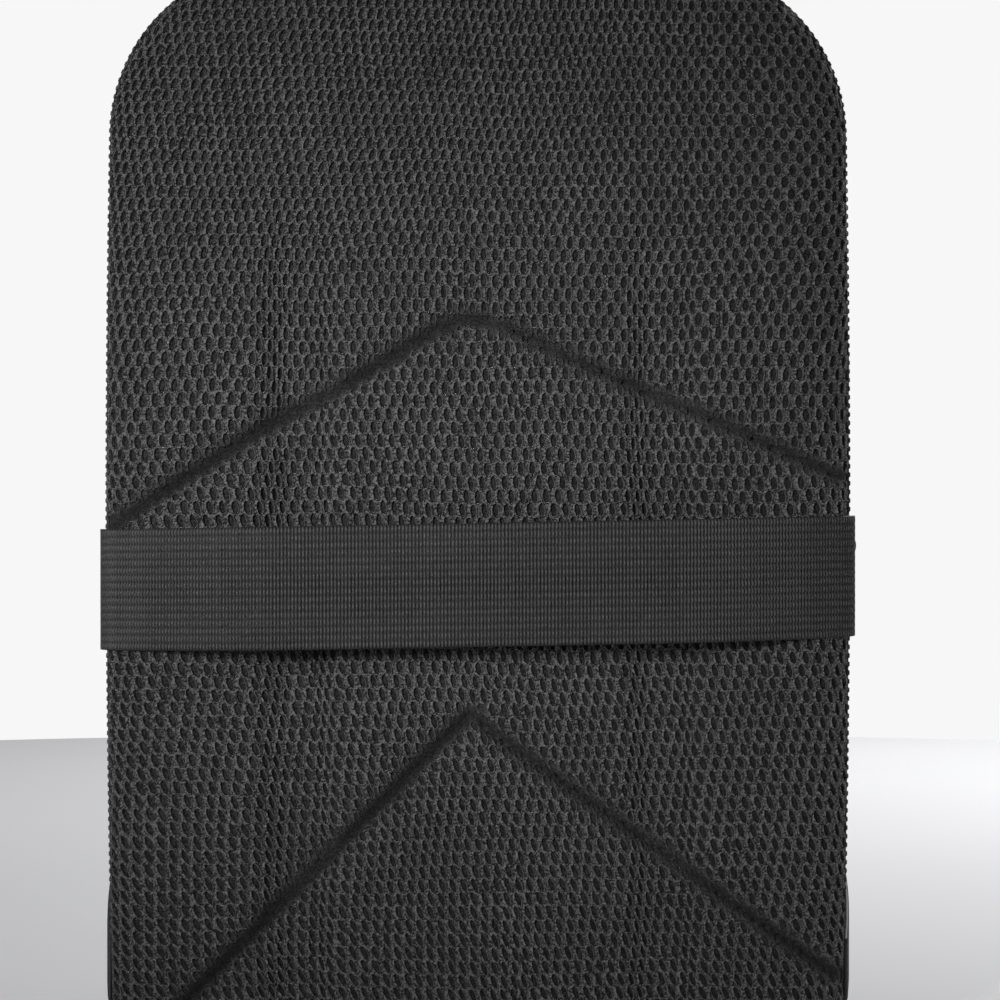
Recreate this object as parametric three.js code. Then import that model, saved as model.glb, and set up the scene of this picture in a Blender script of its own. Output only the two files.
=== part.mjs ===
// A laptop backpack standing on its base, in millimetres, with +Z up.
// The padded mesh back faces -Y and the pocket side faces +Y.
// The origin is the middle of the base, on the floor.
import * as THREE from "three";

const { abs, cos, hypot, max, min, PI, sin, sqrt, tan } = Math;
const { clamp, degToRad, lerp, smoothstep } = THREE.MathUtils;
const vec = (x, y, z) => new THREE.Vector3(x, y, z);

// Driving dimensions
const gap = 0.3; // left between pieces that are sewn or laid together
const bag = {
  height: 460,
  halfWidth: 152,
  sideSwell: 3, // how far the sides bow out at mid height, seen from behind
  baseCorner: 26,
  topCorner: 72,
  backY: -82, // seam between back panel and gusset
  depthBase: 162,
  depthTop: 116,
  wall: 2,
  gussetSwell: 4, // how far the gusset bows out between its two seams
  frontTaper: 7, // how much smaller the front seam's outline is
};
const zipLine = { depth: 62, width: 10, lowEnd: 170 };
const backPad = { inset: 2, edge: 5 };
const luggageStrap = { width: 50, thickness: 1.8, middleZ: 200, tilt: degToRad(1.2) };
const pocket = { halfWidth: 88, low: 40, high: 178, corner: 24, wall: 2, footFull: 1.12, headFull: 0.8 };
const pocketZipLine = { z: 152, halfLength: 66, width: 10, thickness: 1.4, clear: 1.2, lean: 0.1 };
const handle = {
  halfSpan: 32,
  rise: 34, // tall enough for four fingers
  width: 25,
  thickness: 4,
  middleY: -66,
  cornerRound: 16,
  edgeRound: 1.5,
  clear: 2.8, // above the seam's height, so that its feet stand just off the swell of the top
};
const shoulder = {
  width: 58,
  endWidth: 40,
  seamThickness: 5,
  thickness: 13,
  endThickness: 9,
  edgeRound: 2.2,
  topX: 67,
  endX: 86,
  clear: 2.2, // between the strap and the bag that it lies on
  browOut: 5, // how far the strap stands off the front edge of the top
};
const webbing = { width: 24, thickness: 1.4, clear: 3.4, tailLength: 46, tailLift: 4.2 };
const adjuster = {
  width: 36,
  bar: 5,
  slot: 7,
  slotWidth: 28,
  thickness: 4,
  standOff: 14.3, // from the padded strap's end
  loopRadius: 3.4,
  loopShift: 0.8, // how far a loop's middle lies towards the bar that it goes round
};
const puller = { bodyWidth: 11, bodyLength: 11, cut: 3, tabWidth: 7, tabLength: 30, thickness: 4 };
const mainPuller = { aboveEnd: 10, lift: 1 }; // at the zip's lower end
const pocketPuller = { fromEnd: 15, lift: 4.6 };

// Back panel, a row for each line across it from the base up. Apex is the line's height at the middle,
// slope is how much it falls for each millimetre away from there, and pad is the foam's thickness.
const backRows = [
  { apex: 0, slope: 0, pad: 5 },
  { apex: 3, slope: 0.01, pad: 11 },
  { apex: 14, slope: 0.06, pad: 16 },
  { apex: 70, slope: 0.4, pad: 19 },
  { apex: 124, slope: 0.76, pad: 19 },
  { apex: 138, slope: 0.82, pad: 17 },
  { apex: 147, slope: 0.84, pad: 9 }, // lower chevron, pressed in
  { apex: 156, slope: 0.83, pad: 16 },
  { apex: 176, slope: 0.8, pad: 19 },
  { apex: 236, slope: 0.7, pad: 20 },
  { apex: 292, slope: 0.6, pad: 19 },
  { apex: 306, slope: 0.58, pad: 17 },
  { apex: 315, slope: 0.58, pad: 9 }, // upper chevron, pressed in
  { apex: 323, slope: 0.57, pad: 15 },
  { apex: 342, slope: 0.5, pad: 17 },
  { apex: 400, slope: 0.25, pad: 17 },
  { apex: 446, slope: 0.03, pad: 14 },
  { apex: 457, slope: 0.005, pad: 10 },
  { apex: 460, slope: 0, pad: 5 },
];
const rowSpacing = 1.2; // least distance between two rows where they run together at a side

// Shares of the back panel's half-width at which its rows have a point, closer together towards the edge.
const backShares = [0, 0.13, 0.27, 0.41, 0.54, 0.66, 0.76, 0.84, 0.9, 0.945, 0.975, 0.992, 1];

// Front panel, a row for each ring from the middle out: its share of the rim's size,
// and its rise over the seam.
const frontRings = [
  { share: 0.16, rise: 21 },
  { share: 0.45, rise: 20 },
  { share: 0.72, rise: 17 },
  { share: 0.88, rise: 13 },
  { share: 0.95, rise: 9 },
  { share: 0.985, rise: 4.5 },
  { share: 1, rise: gap },
];
const frontMiddleZ = 215;

// Front pocket, a row for each ring from its edge in.
const pocketRings = [
  { inset: 0, rise: gap },
  { inset: 1, rise: 9 },
  { inset: 5, rise: 16 },
  { inset: 14, rise: 20 },
  { inset: 40, rise: 22 },
  { inset: 64, rise: 22.5 },
];

// Luggage strap seen from above, a row for each bend from the side seam to the middle.
const luggageRows = [
  { x: 157.5, standOff: -1 },
  { x: 157, standOff: 6 },
  { x: 152, standOff: 14 },
  { x: 136, standOff: 23 },
  { x: 108, standOff: 34 },
  { x: 93, standOff: 38.6 },
  { x: 84, standOff: 40 },
  { x: 45, standOff: 40.6 },
];
const luggageMiddle = { x: 0, standOff: 41 };

// Shoulder strap, thrown over the top: its depths from the back seam there, and its heights down the front.
const shoulderDepths = [0.5, 14, 34, 58, 82, 100];
const shoulderHeights = [418, 385, 350, 315, 280, 255, 238];

// Shoulder strap webbing, a row for each point between the adjuster and the seam at the base corner.
// On the front a point is x and z, on the side it is y and z. Its section turns from square to upright,
// so that the webbing folds along the bag's front edge.
const webbingFront = [
  { x: 104, z: 172, upright: 0.25 },
  { x: 120, z: 150, upright: 0.7 },
  { x: 132, z: 132, upright: 1 },
  { x: 140, z: 121, upright: 1 },
  { x: 144.5, z: 114, upright: 1 },
];
const webbingSide = [
  { y: 72, z: 105, upright: 1 },
  { y: 60, z: 99, upright: 1 },
  { y: 20, z: 80, upright: 1 },
  { y: -30, z: 59, upright: 1 },
  { y: -62, z: 46, upright: 1 },
  { y: -80, z: 39, upright: 1 },
];

// Reads a table's column at a value of another, by straight lines between its rows.
function lookUp(rows, from, to, at) {
  const after = rows.findIndex((row) => row[from] >= at);
  if (after === -1) return rows.at(-1)[to];
  if (after === 0) return rows[0][to];
  const [a, b] = [rows[after - 1], rows[after]];
  return lerp(a[to], b[to], (at - a[from]) / (b[from] - a[from]));
}

// Joins closed sections into one solid, with a cap at each end.
// A section runs along one side and back along the other.
function skin(sections) {
  const count = sections[0].length;
  const position = sections.flat().flatMap((p) => p.toArray());
  const index = [];
  const quad = (a, b, c, d) => index.push(a, b, c, a, c, d);
  for (let i = 0; i < sections.length - 1; i++) {
    for (let k = 0; k < count; k++) {
      const next = (k + 1) % count;
      quad(i * count + k, i * count + next, (i + 1) * count + next, (i + 1) * count + k);
    }
  }
  const last = (sections.length - 1) * count;
  for (let k = 0; k < count / 2 - 1; k++) {
    quad(count - 1 - k, count - 2 - k, k + 1, k);
    quad(last + k, last + k + 1, last + count - 2 - k, last + count - 1 - k);
  }
  if (signedVolume(position, index) < 0) index.reverse();
  const geometry = new THREE.BufferGeometry();
  geometry.setAttribute("position", new THREE.Float32BufferAttribute(position, 3));
  geometry.setIndex(index);
  return geometry;
}

function signedVolume(position, index) {
  const corner = (i) => vec(...position.slice(3 * index[i], 3 * index[i] + 3));
  let volume = 0;
  for (let i = 0; i < index.length; i += 3) volume += corner(i).dot(corner(i + 1).cross(corner(i + 2))) / 6;
  return volume;
}

// A strip through stations that each have a place, the way its face looks, a width and a thickness.
// A station may also name the line that its section lies along, where the strip crosses an edge at a slant.
// With a chamfer the long edges are rounded off, as a padded strap's are.
function ribbon(stations, chamfer = 0) {
  return skin(
    stations.map((station, i) => {
      const before = stations[max(i - 1, 0)].place;
      const after = stations[min(i + 1, stations.length - 1)].place;
      const along = after.clone().sub(before).normalize();
      const square = station.face.clone().cross(along).normalize();
      const across = station.sectionLine ?? square;
      const out = along.clone().cross(square);
      const [w, t] = [station.width / 2 / across.dot(square), station.thickness / 2];
      const profile = chamfer
        ? [[-w, t - chamfer], [chamfer - w, t], [w - chamfer, t], [w, t - chamfer]]
        : [[-w, t], [w, t]];
      const back = profile.map(([a, b]) => [a, -b]).reverse();
      const point = ([a, b]) => station.place.clone().addScaledVector(across, a).addScaledVector(out, b);
      return [...profile, ...back].map(point);
    }),
  );
}

// Half-width of the bag's outline on its straight sides, seen from behind.
function sideHalf(z) {
  return bag.halfWidth + bag.sideSwell * sin((PI * z) / bag.height);
}

// The right half of the bag's outline between two heights, each point with its outward normal.
// It takes in the base where it starts at 0 and the top where it ends at the bag's height.
function halfOutline(zFrom, zTo) {
  const points = [];
  const [low, high] = [bag.baseCorner, bag.height - bag.topCorner];
  const arc = (centreX, centreZ, radius, from, to, steps) => {
    for (let i = 0; i <= steps; i++) {
      const angle = lerp(from, to, i / steps);
      const [nx, nz] = [cos(angle), sin(angle)];
      points.push({ x: centreX + radius * nx, z: centreZ + radius * nz, nx, nz });
    }
  };
  if (zFrom === 0) {
    points.push({ x: 0, z: 0, nx: 0, nz: -1 });
    arc(sideHalf(low) - low, low, low, -PI / 2, 0, 4);
  }
  const [start, end] = [max(zFrom, low), min(zTo, high)];
  const steps = Math.ceil((end - start) / 48);
  for (let i = zFrom === 0 ? 1 : 0; i <= steps; i++) {
    const z = lerp(start, end, i / steps);
    points.push({ x: sideHalf(z), z, nx: 1, nz: 0 });
  }
  if (zTo === bag.height) {
    points.pop();
    arc(sideHalf(high) - bag.topCorner, high, bag.topCorner, 0, PI / 2, 7);
    points.push({ x: 0, z: bag.height, nx: 0, nz: 1 });
  }
  return points;
}

const mirrored = (points) => points.map((p) => ({ ...p, x: -p.x, nx: -p.nx })).reverse();

// Depth of the gusset from the back seam to the front seam: the bag is slimmer towards its top.
function gussetDepth(z) {
  return lerp(bag.depthBase, bag.depthTop, smoothstep(z / bag.height, 0.1, 1));
}

// A point of the gusset at a depth from the back seam and an inset from its outer face. The base stays flat.
function gussetPoint(p, depth, inset) {
  const share = depth / gussetDepth(p.z);
  const bow = bag.gussetSwell * 4 * share * (1 - share) - bag.frontTaper * share * share;
  const out = bow * (1 + min(0, p.nz)) - inset;
  return vec(p.x + p.nx * out, bag.backY + depth, p.z + p.nz * out);
}

// A cloth wall along part of the outline, between two depths that may follow the height.
function gussetWall(path, fromDepth, toDepth, steps) {
  return skin(
    path.map((p) => {
      const [from, to] = [fromDepth(p.z), toDepth(p.z)];
      const depths = Array.from({ length: steps + 1 }, (_, i) => lerp(from, to, i / steps));
      const outer = depths.map((depth) => gussetPoint(p, depth, 0));
      const inner = depths.map((depth) => gussetPoint(p, depth, bag.wall)).reverse();
      return [...outer, ...inner];
    }),
  );
}

// Seam between front panel and gusset, all the way round.
const fullHalf = halfOutline(0, bag.height);
const rim = [...fullHalf, ...mirrored(fullHalf).slice(1, -1)].map((p) => gussetPoint(p, gussetDepth(p.z), 0));

// How far out from the front panel's middle a point lies, as a share of the way to the rim.
function frontShare(x, z) {
  const [dx, dz] = [x, z - frontMiddleZ];
  let reach = 1e-6;
  rim.forEach((a, i) => {
    const b = rim[(i + 1) % rim.length];
    const [ex, ez] = [b.x - a.x, b.z - a.z];
    const across = dx * ez - dz * ex;
    if (abs(across) < 1e-9) return;
    const hit = (a.x * ez - (a.z - frontMiddleZ) * ex) / across;
    const along = (a.x * dz - (a.z - frontMiddleZ) * dx) / across;
    if (hit > 0 && along >= -1e-9 && along <= 1 + 1e-9) reach = hit;
  });
  return 1 / reach;
}

// Outer face of the front panel.
function frontY(x, z) {
  return bag.backY + gussetDepth(z) + lookUp(frontRings, "share", "rise", frontShare(x, z));
}

function frontNormal(x, z) {
  const step = 6;
  const slopeX = (frontY(x + step, z) - frontY(x - step, z)) / (2 * step);
  const slopeZ = (frontY(x, z + step) - frontY(x, z - step)) / (2 * step);
  return vec(-slopeX, 1, -slopeZ).normalize();
}

// Front panel, a crowned cloth wall that closes the gusset.
function frontPanel() {
  const ring = ({ share, rise }, inset) =>
    rim.map((p) => {
      const [x, z] = [p.x * share, frontMiddleZ + (p.z - frontMiddleZ) * share];
      return vec(x, bag.backY + gussetDepth(z) + max(rise - inset, gap), z);
    });
  const inside = frontRings.map((row) => ({ ...row, share: min(row.share, 1 - bag.wall / bag.halfWidth) }));
  const outer = frontRings.map((row) => ring(row, 0));
  const inner = inside.map((row) => ring(row, bag.wall)).reverse();
  return skin([...outer, ...inner]);
}

// Lowest and highest points of the back panel's outline at a distance from the middle.
function backLimits(x) {
  const round = (half, radius) => {
    const over = clamp(abs(x) - (half - radius), 0, radius);
    return radius - sqrt(radius * radius - over * over);
  };
  const inner = bag.halfWidth - backPad.inset;
  return [
    backPad.inset + round(inner, bag.baseCorner),
    bag.height - backPad.inset - round(inner, bag.topCorner),
  ];
}

// Back panel: foam under mesh, thick between the two chevrons that are pressed into it and thin at its edge.
function backPanel() {
  const stations = [...backShares.slice(1).reverse().map((u) => -u), ...backShares];
  const lines = backRows.map((row) => stations.map((u) => row.apex - row.slope * abs(u) * bag.halfWidth));
  stations.forEach((u, k) => {
    const [low, high] = backLimits(u * (bag.halfWidth - backPad.inset));
    const last = lines.length - 1;
    lines.forEach((line, i) => {
      line[k] = clamp(line[k], low + i * rowSpacing, high - (last - i) * rowSpacing);
      if (i > 0) line[k] = max(line[k], lines[i - 1][k] + rowSpacing);
    });
  });
  const inside = bag.backY - gap;
  return skin(
    backRows.map((row, i) => {
      const outer = stations.map((u, k) => {
        const z = lines[i][k];
        const thickness = backPad.edge + (row.pad - backPad.edge) * sqrt(1 - u ** 8);
        return vec(u * (sideHalf(z) - backPad.inset), inside - thickness, z);
      });
      const inner = outer.map((p) => vec(p.x, inside, p.z)).reverse();
      return [...outer, ...inner];
    }),
  );
}

// Luggage strap: wide webbing sewn into both side seams. It stands off the back and leaves a pass behind it.
function luggageBand() {
  const left = luggageRows.map(({ x, standOff }) => ({ x: -x, standOff })).reverse();
  const line = [...luggageRows, luggageMiddle, ...left].map(({ x, standOff }) =>
    vec(x, bag.backY - standOff, luggageStrap.middleZ + x * tan(luggageStrap.tilt)),
  );
  return ribbon(
    line.map((place, i) => {
      const along = line[min(i + 1, line.length - 1)].clone().sub(line[max(i - 1, 0)]);
      const face = vec(-along.y, along.x, 0).normalize();
      return { place, face, width: luggageStrap.width, thickness: luggageStrap.thickness };
    }),
  );
}

// Points of a rounded rectangle's edge, an even number, in order.
function roundedRectangle(halfWidth, low, high, radius) {
  const [arcSteps, edgeSteps] = [3, 3];
  const corners = [
    { x: halfWidth - radius, z: high - radius, from: 0 },
    { x: radius - halfWidth, z: high - radius, from: PI / 2 },
    { x: radius - halfWidth, z: low + radius, from: PI },
    { x: halfWidth - radius, z: low + radius, from: 1.5 * PI },
  ];
  const onArc = (corner, share) => {
    const angle = corner.from + (share * PI) / 2;
    return { x: corner.x + radius * cos(angle), z: corner.z + radius * sin(angle) };
  };
  return corners.flatMap((corner, k) => {
    const [end, next] = [onArc(corner, 1), onArc(corners[(k + 1) % 4], 0)];
    const arc = Array.from({ length: arcSteps }, (_, i) => onArc(corner, i / arcSteps));
    const edge = Array.from({ length: edgeSteps }, (_, i) => {
      const share = i / edgeSteps;
      return { x: lerp(end.x, next.x, share), z: lerp(end.z, next.z, share) };
    });
    return [...arc, ...edge];
  });
}

// The pocket is fuller towards its foot.
function pocketFullness(z) {
  const share = clamp((z - pocket.low) / (pocket.high - pocket.low), 0, 1);
  return lerp(pocket.footFull, pocket.headFull, share);
}

// Outer face of the pocket, from how far inside its edge the point lies.
function pocketY(x, z) {
  const middle = (pocket.low + pocket.high) / 2;
  const overX = abs(x) - (pocket.halfWidth - pocket.corner);
  const overZ = abs(z - middle) - ((pocket.high - pocket.low) / 2 - pocket.corner);
  const outside = hypot(max(overX, 0), max(overZ, 0)) + min(max(overX, overZ), 0);
  const rise = lookUp(pocketRings, "inset", "rise", pocket.corner - outside);
  return frontY(x, z) + rise * pocketFullness(z);
}

// Front pocket: a cloth shell, open towards the front panel that it is sewn to.
function frontPocket() {
  const leastCorner = 3;
  const ring = (inset, rise) =>
    roundedRectangle(
      pocket.halfWidth - inset,
      pocket.low + inset,
      pocket.high - inset,
      max(pocket.corner - inset, leastCorner),
    ).map(({ x, z }) => vec(x, frontY(x, z) + rise * pocketFullness(z), z));
  const outer = pocketRings.map(({ inset, rise }) => ring(inset, rise)).reverse();
  const inner = pocketRings.map(({ inset, rise }) =>
    ring(min(inset + pocket.wall, pocketRings.at(-1).inset), max(rise - pocket.wall, gap)),
  );
  return skin([...outer, ...inner]);
}

// Zip across the pocket's face.
function pocketZip() {
  const { z, halfLength, width, thickness, clear, lean } = pocketZipLine;
  const steps = 8;
  return ribbon(
    Array.from({ length: steps + 1 }, (_, i) => {
      const x = lerp(-halfLength, halfLength, i / steps);
      const place = vec(x, pocketY(x, z) + clear + thickness / 2, z);
      return { place, face: vec(0, 1, lean), width, thickness };
    }),
  );
}

// Zip slider and its pull tab in one outline, the tab pointing down.
function zipPuller() {
  const { bodyWidth, bodyLength, cut, tabWidth, tabLength, thickness } = puller;
  const shape = new THREE.Shape();
  shape.moveTo(-bodyWidth / 2, 0);
  shape.lineTo(-bodyWidth / 2, bodyLength - cut);
  shape.lineTo(cut - bodyWidth / 2, bodyLength);
  shape.lineTo(bodyWidth / 2 - cut, bodyLength);
  shape.lineTo(bodyWidth / 2, bodyLength - cut);
  shape.lineTo(bodyWidth / 2, 0);
  shape.lineTo(tabWidth / 2, -cut);
  shape.lineTo(tabWidth / 2, -tabLength);
  shape.absarc(0, -tabLength, tabWidth / 2, 0, -PI, true);
  shape.lineTo(-tabWidth / 2, -cut);
  shape.closePath();
  return new THREE.ExtrudeGeometry(shape, { depth: thickness, bevelEnabled: false, curveSegments: 4 });
}

// Carry handle: a webbing arch sewn to the top.
function carryHandle() {
  const { halfSpan, rise, width, thickness, middleY, cornerRound, edgeRound, clear } = handle;
  const foot = bag.height + clear;
  const path = new THREE.Path();
  path.moveTo(-halfSpan, foot);
  path.lineTo(-halfSpan, foot + rise - cornerRound);
  path.absarc(cornerRound - halfSpan, foot + rise - cornerRound, cornerRound, PI, PI / 2, true);
  path.lineTo(halfSpan - cornerRound, foot + rise);
  path.absarc(halfSpan - cornerRound, foot + rise - cornerRound, cornerRound, PI / 2, 0, true);
  path.lineTo(halfSpan, foot);
  const middle = vec(0, middleY, foot);
  const arcSteps = 5;
  return ribbon(
    path.getPoints(arcSteps).map(({ x, y: z }) => {
      const place = vec(x, middleY, z);
      return { place, face: place.clone().sub(middle).normalize(), width, thickness };
    }),
    edgeRound,
  );
}

// Thickness of a shoulder strap along its length: a sewn edge at the seam, foam, and a thinner end.
function strapThickness(share) {
  const full = lerp(shoulder.seamThickness, shoulder.thickness, smoothstep(share, 0, 0.12));
  return lerp(full, shoulder.endThickness, smoothstep(share, 0.5, 1));
}

// Line of a shoulder strap that is thrown over the top and hangs down the front, just off the bag.
function shoulderLine(side) {
  const { topX, endX, clear, browOut } = shoulder;
  const last = shoulderDepths.length + shoulderHeights.length;
  const at = (i) => {
    const share = i / last;
    return { x: lerp(topX, endX, share * share), half: strapThickness(share) / 2 };
  };
  const top = shoulderDepths.map((depth, i) => {
    const { x, half } = at(i);
    const surface = gussetPoint({ x, z: bag.height, nx: 0, nz: 1 }, depth, 0);
    return vec(x, surface.y, surface.z + half + clear);
  });
  const bend = at(shoulderDepths.length);
  const brow = vec(bend.x, bag.backY + bag.depthTop + bend.half + browOut, bag.height - browOut);
  const front = shoulderHeights.map((z, i) => {
    const { x, half } = at(shoulderDepths.length + 1 + i);
    return vec(x, frontY(x, z), z).addScaledVector(frontNormal(x, z), half + clear);
  });
  return new THREE.CatmullRomCurve3([...top, brow, ...front].map((p) => vec(p.x * side, p.y, p.z)));
}

function shoulderStrap(line) {
  const steps = 24;
  return ribbon(
    Array.from({ length: steps + 1 }, (_, i) => {
      const share = i / steps;
      return {
        place: line.getPointAt(share),
        face: vec(1, 0, 0).cross(line.getTangentAt(share)).negate(),
        width: lerp(shoulder.width, shoulder.endWidth, smoothstep(share, 0.5, 1)),
        thickness: strapThickness(share),
      };
    }),
    shoulder.edgeRound,
  );
}

// The adjuster lies in line with the strap's end: a point at a distance along it and out from the bag.
function adjusterFrame(line) {
  const end = line.getPointAt(1);
  const along = line.getTangentAt(1);
  const level = vec(1, 0, 0).addScaledVector(along, -along.x);
  const out = level.cross(along).normalize();
  const at = (a, o) => end.clone().addScaledVector(along, adjuster.standOff + a).addScaledVector(out, o);
  return { along, out, at };
}

// Half turn of webbing round a bar, from the bag's side of the adjuster to its outer side.
function halfTurn(frame, middle, towards) {
  const steps = 6;
  return Array.from({ length: steps + 1 }, (_, i) => {
    const angle = -PI / 2 + (i / steps) * PI;
    const [a, o] = [towards * cos(angle), sin(angle)];
    return {
      place: frame.at(middle + a * adjuster.loopRadius, o * adjuster.loopRadius),
      face: frame.along.clone().multiplyScalar(a).addScaledVector(frame.out, o),
      width: webbing.width,
      thickness: webbing.thickness,
    };
  });
}

// Short loop that joins the padded strap to the adjuster's top bar.
function strapTongue(frame) {
  const start = -adjuster.standOff + gap;
  const turn = halfTurn(frame, adjuster.bar - adjuster.loopShift, 1);
  const straight = (o) => {
    const face = frame.out.clone().multiplyScalar(Math.sign(o));
    return { ...turn[0], place: frame.at(start, o), face };
  };
  return ribbon([straight(-adjuster.loopRadius), ...turn, straight(adjuster.loopRadius)]);
}

// Adjuster with two slots, moulded in one piece.
function adjusterMesh(name, frame, material) {
  const { width, bar, slot, slotWidth, thickness } = adjuster;
  const rectangle = (made, half, from, to) => {
    made.moveTo(-half, from);
    made.lineTo(half, from);
    made.lineTo(half, to);
    made.lineTo(-half, to);
    made.closePath();
    return made;
  };
  const shape = rectangle(new THREE.Shape(), width / 2, 0, 3 * bar + 2 * slot);
  shape.holes = [0, 1].map((i) => {
    const from = bar + i * (bar + slot);
    return rectangle(new THREE.Path(), slotWidth / 2, from, from + slot);
  });
  const geometry = new THREE.ExtrudeGeometry(shape, { depth: thickness, bevelEnabled: false });
  geometry.translate(0, 0, -thickness / 2);
  const mesh = named(name, geometry, material);
  const across = frame.along.clone().cross(frame.out);
  mesh.quaternion.setFromRotationMatrix(new THREE.Matrix4().makeBasis(across, frame.along, frame.out));
  mesh.position.copy(frame.at(0, 0));
  return mesh;
}

// Lower webbing: its loose tail, the turn round the adjuster's bottom bar, and the run to the base corner.
function strapWebbing(frame, side) {
  const { width, thickness, clear, tailLength, tailLift } = webbing;
  const onFront = webbingFront.map(({ x, z, upright }) => ({
    place: vec(x, frontY(x, z), z),
    face: frontNormal(x, z),
    upright,
  }));
  const onSide = webbingSide.map(({ y, z, upright }) => {
    const p = { x: sideHalf(z), z, nx: 1, nz: 0 };
    return { place: gussetPoint(p, y - bag.backY, 0), face: vec(1, 0, 0), upright };
  });
  const run = [...onFront, ...onSide].map(({ place, face, upright }) => {
    const { x, y, z } = place.addScaledVector(face, clear);
    return { place: vec(x * side, y, z), face: vec(-face.x * side, -face.y, -face.z), upright };
  });
  const turn = halfTurn(frame, 2 * (adjuster.bar + adjuster.slot) + adjuster.loopShift, -1);
  const body = run.reverse().map((station, i) => {
    const after = (run[i + 1] ?? turn[0]).place;
    const before = (run[i - 1] ?? station).place;
    const square = station.face.clone().cross(after.clone().sub(before)).normalize();
    const upright = vec(0, 0, Math.sign(square.z));
    const sectionLine = square.lerp(upright, station.upright).normalize();
    return { ...station, sectionLine, width, thickness };
  });
  const last = turn.at(-1);
  const towards = body.at(-2).place.clone().sub(turn[0].place).normalize();
  const loose = [0.3, 1].map((share) => {
    const laid = last.place.clone().addScaledVector(towards, tailLength * share);
    return { ...last, place: laid.addScaledVector(last.face, tailLift * share) };
  });
  return ribbon([...body, ...turn, ...loose]);
}

// Finishes
const finish = (color, roughness) => new THREE.MeshStandardMaterial({ color, roughness, metalness: 0 });
const mesh = finish(0x2b2b2c, 0.9);
const cloth = finish(0x1d1d1f, 0.85);
const strapping = finish(0x262627, 0.8);
const zipTape = finish(0x141415, 0.7);
const moulded = finish(0x111112, 0.45);

function named(name, geometry, material) {
  const made = new THREE.Mesh(geometry, material);
  made.name = name;
  return made;
}

function addGussets(group) {
  const lower = halfOutline(0, zipLine.lowEnd - gap);
  const upper = halfOutline(zipLine.lowEnd, bag.height);
  const lowerPath = [...mirrored(lower), ...lower.slice(1)];
  const archPath = [...upper, ...mirrored(upper).slice(1)];
  const [zipFrom, zipTo] = [zipLine.depth - zipLine.width / 2, zipLine.depth + zipLine.width / 2];
  const at = (depth) => () => depth;
  group.add(
    named("lower_gusset", gussetWall(lowerPath, at(0), gussetDepth, 4), cloth),
    named("rear_gusset", gussetWall(archPath, at(0), at(zipFrom - gap), 2), cloth),
    named("main_zip", gussetWall(archPath, at(zipFrom), at(zipTo), 1), zipTape),
    named("front_gusset", gussetWall(archPath, at(zipTo + gap), gussetDepth, 2), cloth),
  );
}

function addZipPullers(group) {
  const [x, y, z] = [vec(1, 0, 0), vec(0, 1, 0), vec(0, 0, 1)];
  const turned = (made, right, up, out) => {
    made.quaternion.setFromRotationMatrix(new THREE.Matrix4().makeBasis(right, up, out));
    return made;
  };
  const main = turned(named("main_zip_puller", zipPuller(), moulded), y, z, x);
  const sliderZ = zipLine.lowEnd + puller.tabLength + mainPuller.aboveEnd;
  const zipFace = gussetPoint({ x: sideHalf(sliderZ), z: sliderZ, nx: 1, nz: 0 }, zipLine.depth, 0);
  main.position.copy(zipFace).addScaledVector(x, mainPuller.lift);
  const pullX = pocketPuller.fromEnd - pocketZipLine.halfLength;
  const zipY = pocketY(pullX, pocketZipLine.z);
  const tabY = pocketY(pullX, pocketZipLine.z - puller.tabLength);
  const lean = vec(0, zipY - tabY, puller.tabLength).normalize();
  const left = x.clone().negate();
  const outward = left.clone().cross(lean);
  const front = turned(named("pocket_zip_puller", zipPuller(), moulded), left, lean, outward);
  front.position.set(pullX, zipY + pocketPuller.lift, pocketZipLine.z - puller.bodyLength / 2);
  group.add(main, front);
}

function addShoulderStraps(group) {
  for (const [word, side] of [["left", -1], ["right", 1]]) {
    const line = shoulderLine(side);
    const frame = adjusterFrame(line);
    group.add(
      named("shoulder_strap_" + word, shoulderStrap(line), mesh),
      named("strap_tongue_" + word, strapTongue(frame), strapping),
      adjusterMesh("strap_adjuster_" + word, frame, moulded),
      named("strap_webbing_" + word, strapWebbing(frame, side), strapping),
    );
  }
}

const backpack = new THREE.Group();
backpack.add(
  named("back_panel", backPanel(), mesh),
  named("luggage_strap", luggageBand(), strapping),
  named("front_panel", frontPanel(), cloth),
  named("front_pocket", frontPocket(), cloth),
  named("pocket_zip", pocketZip(), zipTape),
  named("carry_handle", carryHandle(), strapping),
);
addGussets(backpack);
addZipPullers(backpack);
addShoulderStraps(backpack);

export default backpack;
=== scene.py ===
import math

import bmesh
import bpy
import numpy as np
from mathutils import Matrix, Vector


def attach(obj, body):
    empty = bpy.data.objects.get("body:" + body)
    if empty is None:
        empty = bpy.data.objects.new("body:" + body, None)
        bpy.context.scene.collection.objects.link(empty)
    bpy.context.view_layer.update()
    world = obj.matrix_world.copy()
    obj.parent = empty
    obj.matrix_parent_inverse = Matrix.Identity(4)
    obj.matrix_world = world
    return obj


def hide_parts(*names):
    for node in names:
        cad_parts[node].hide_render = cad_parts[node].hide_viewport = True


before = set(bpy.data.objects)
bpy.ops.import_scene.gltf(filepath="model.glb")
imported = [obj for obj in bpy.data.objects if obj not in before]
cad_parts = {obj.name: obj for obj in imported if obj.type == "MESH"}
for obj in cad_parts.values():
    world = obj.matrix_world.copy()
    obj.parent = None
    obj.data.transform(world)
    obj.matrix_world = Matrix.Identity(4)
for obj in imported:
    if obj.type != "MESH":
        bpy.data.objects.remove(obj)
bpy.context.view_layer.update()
scene = bpy.context.scene

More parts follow.
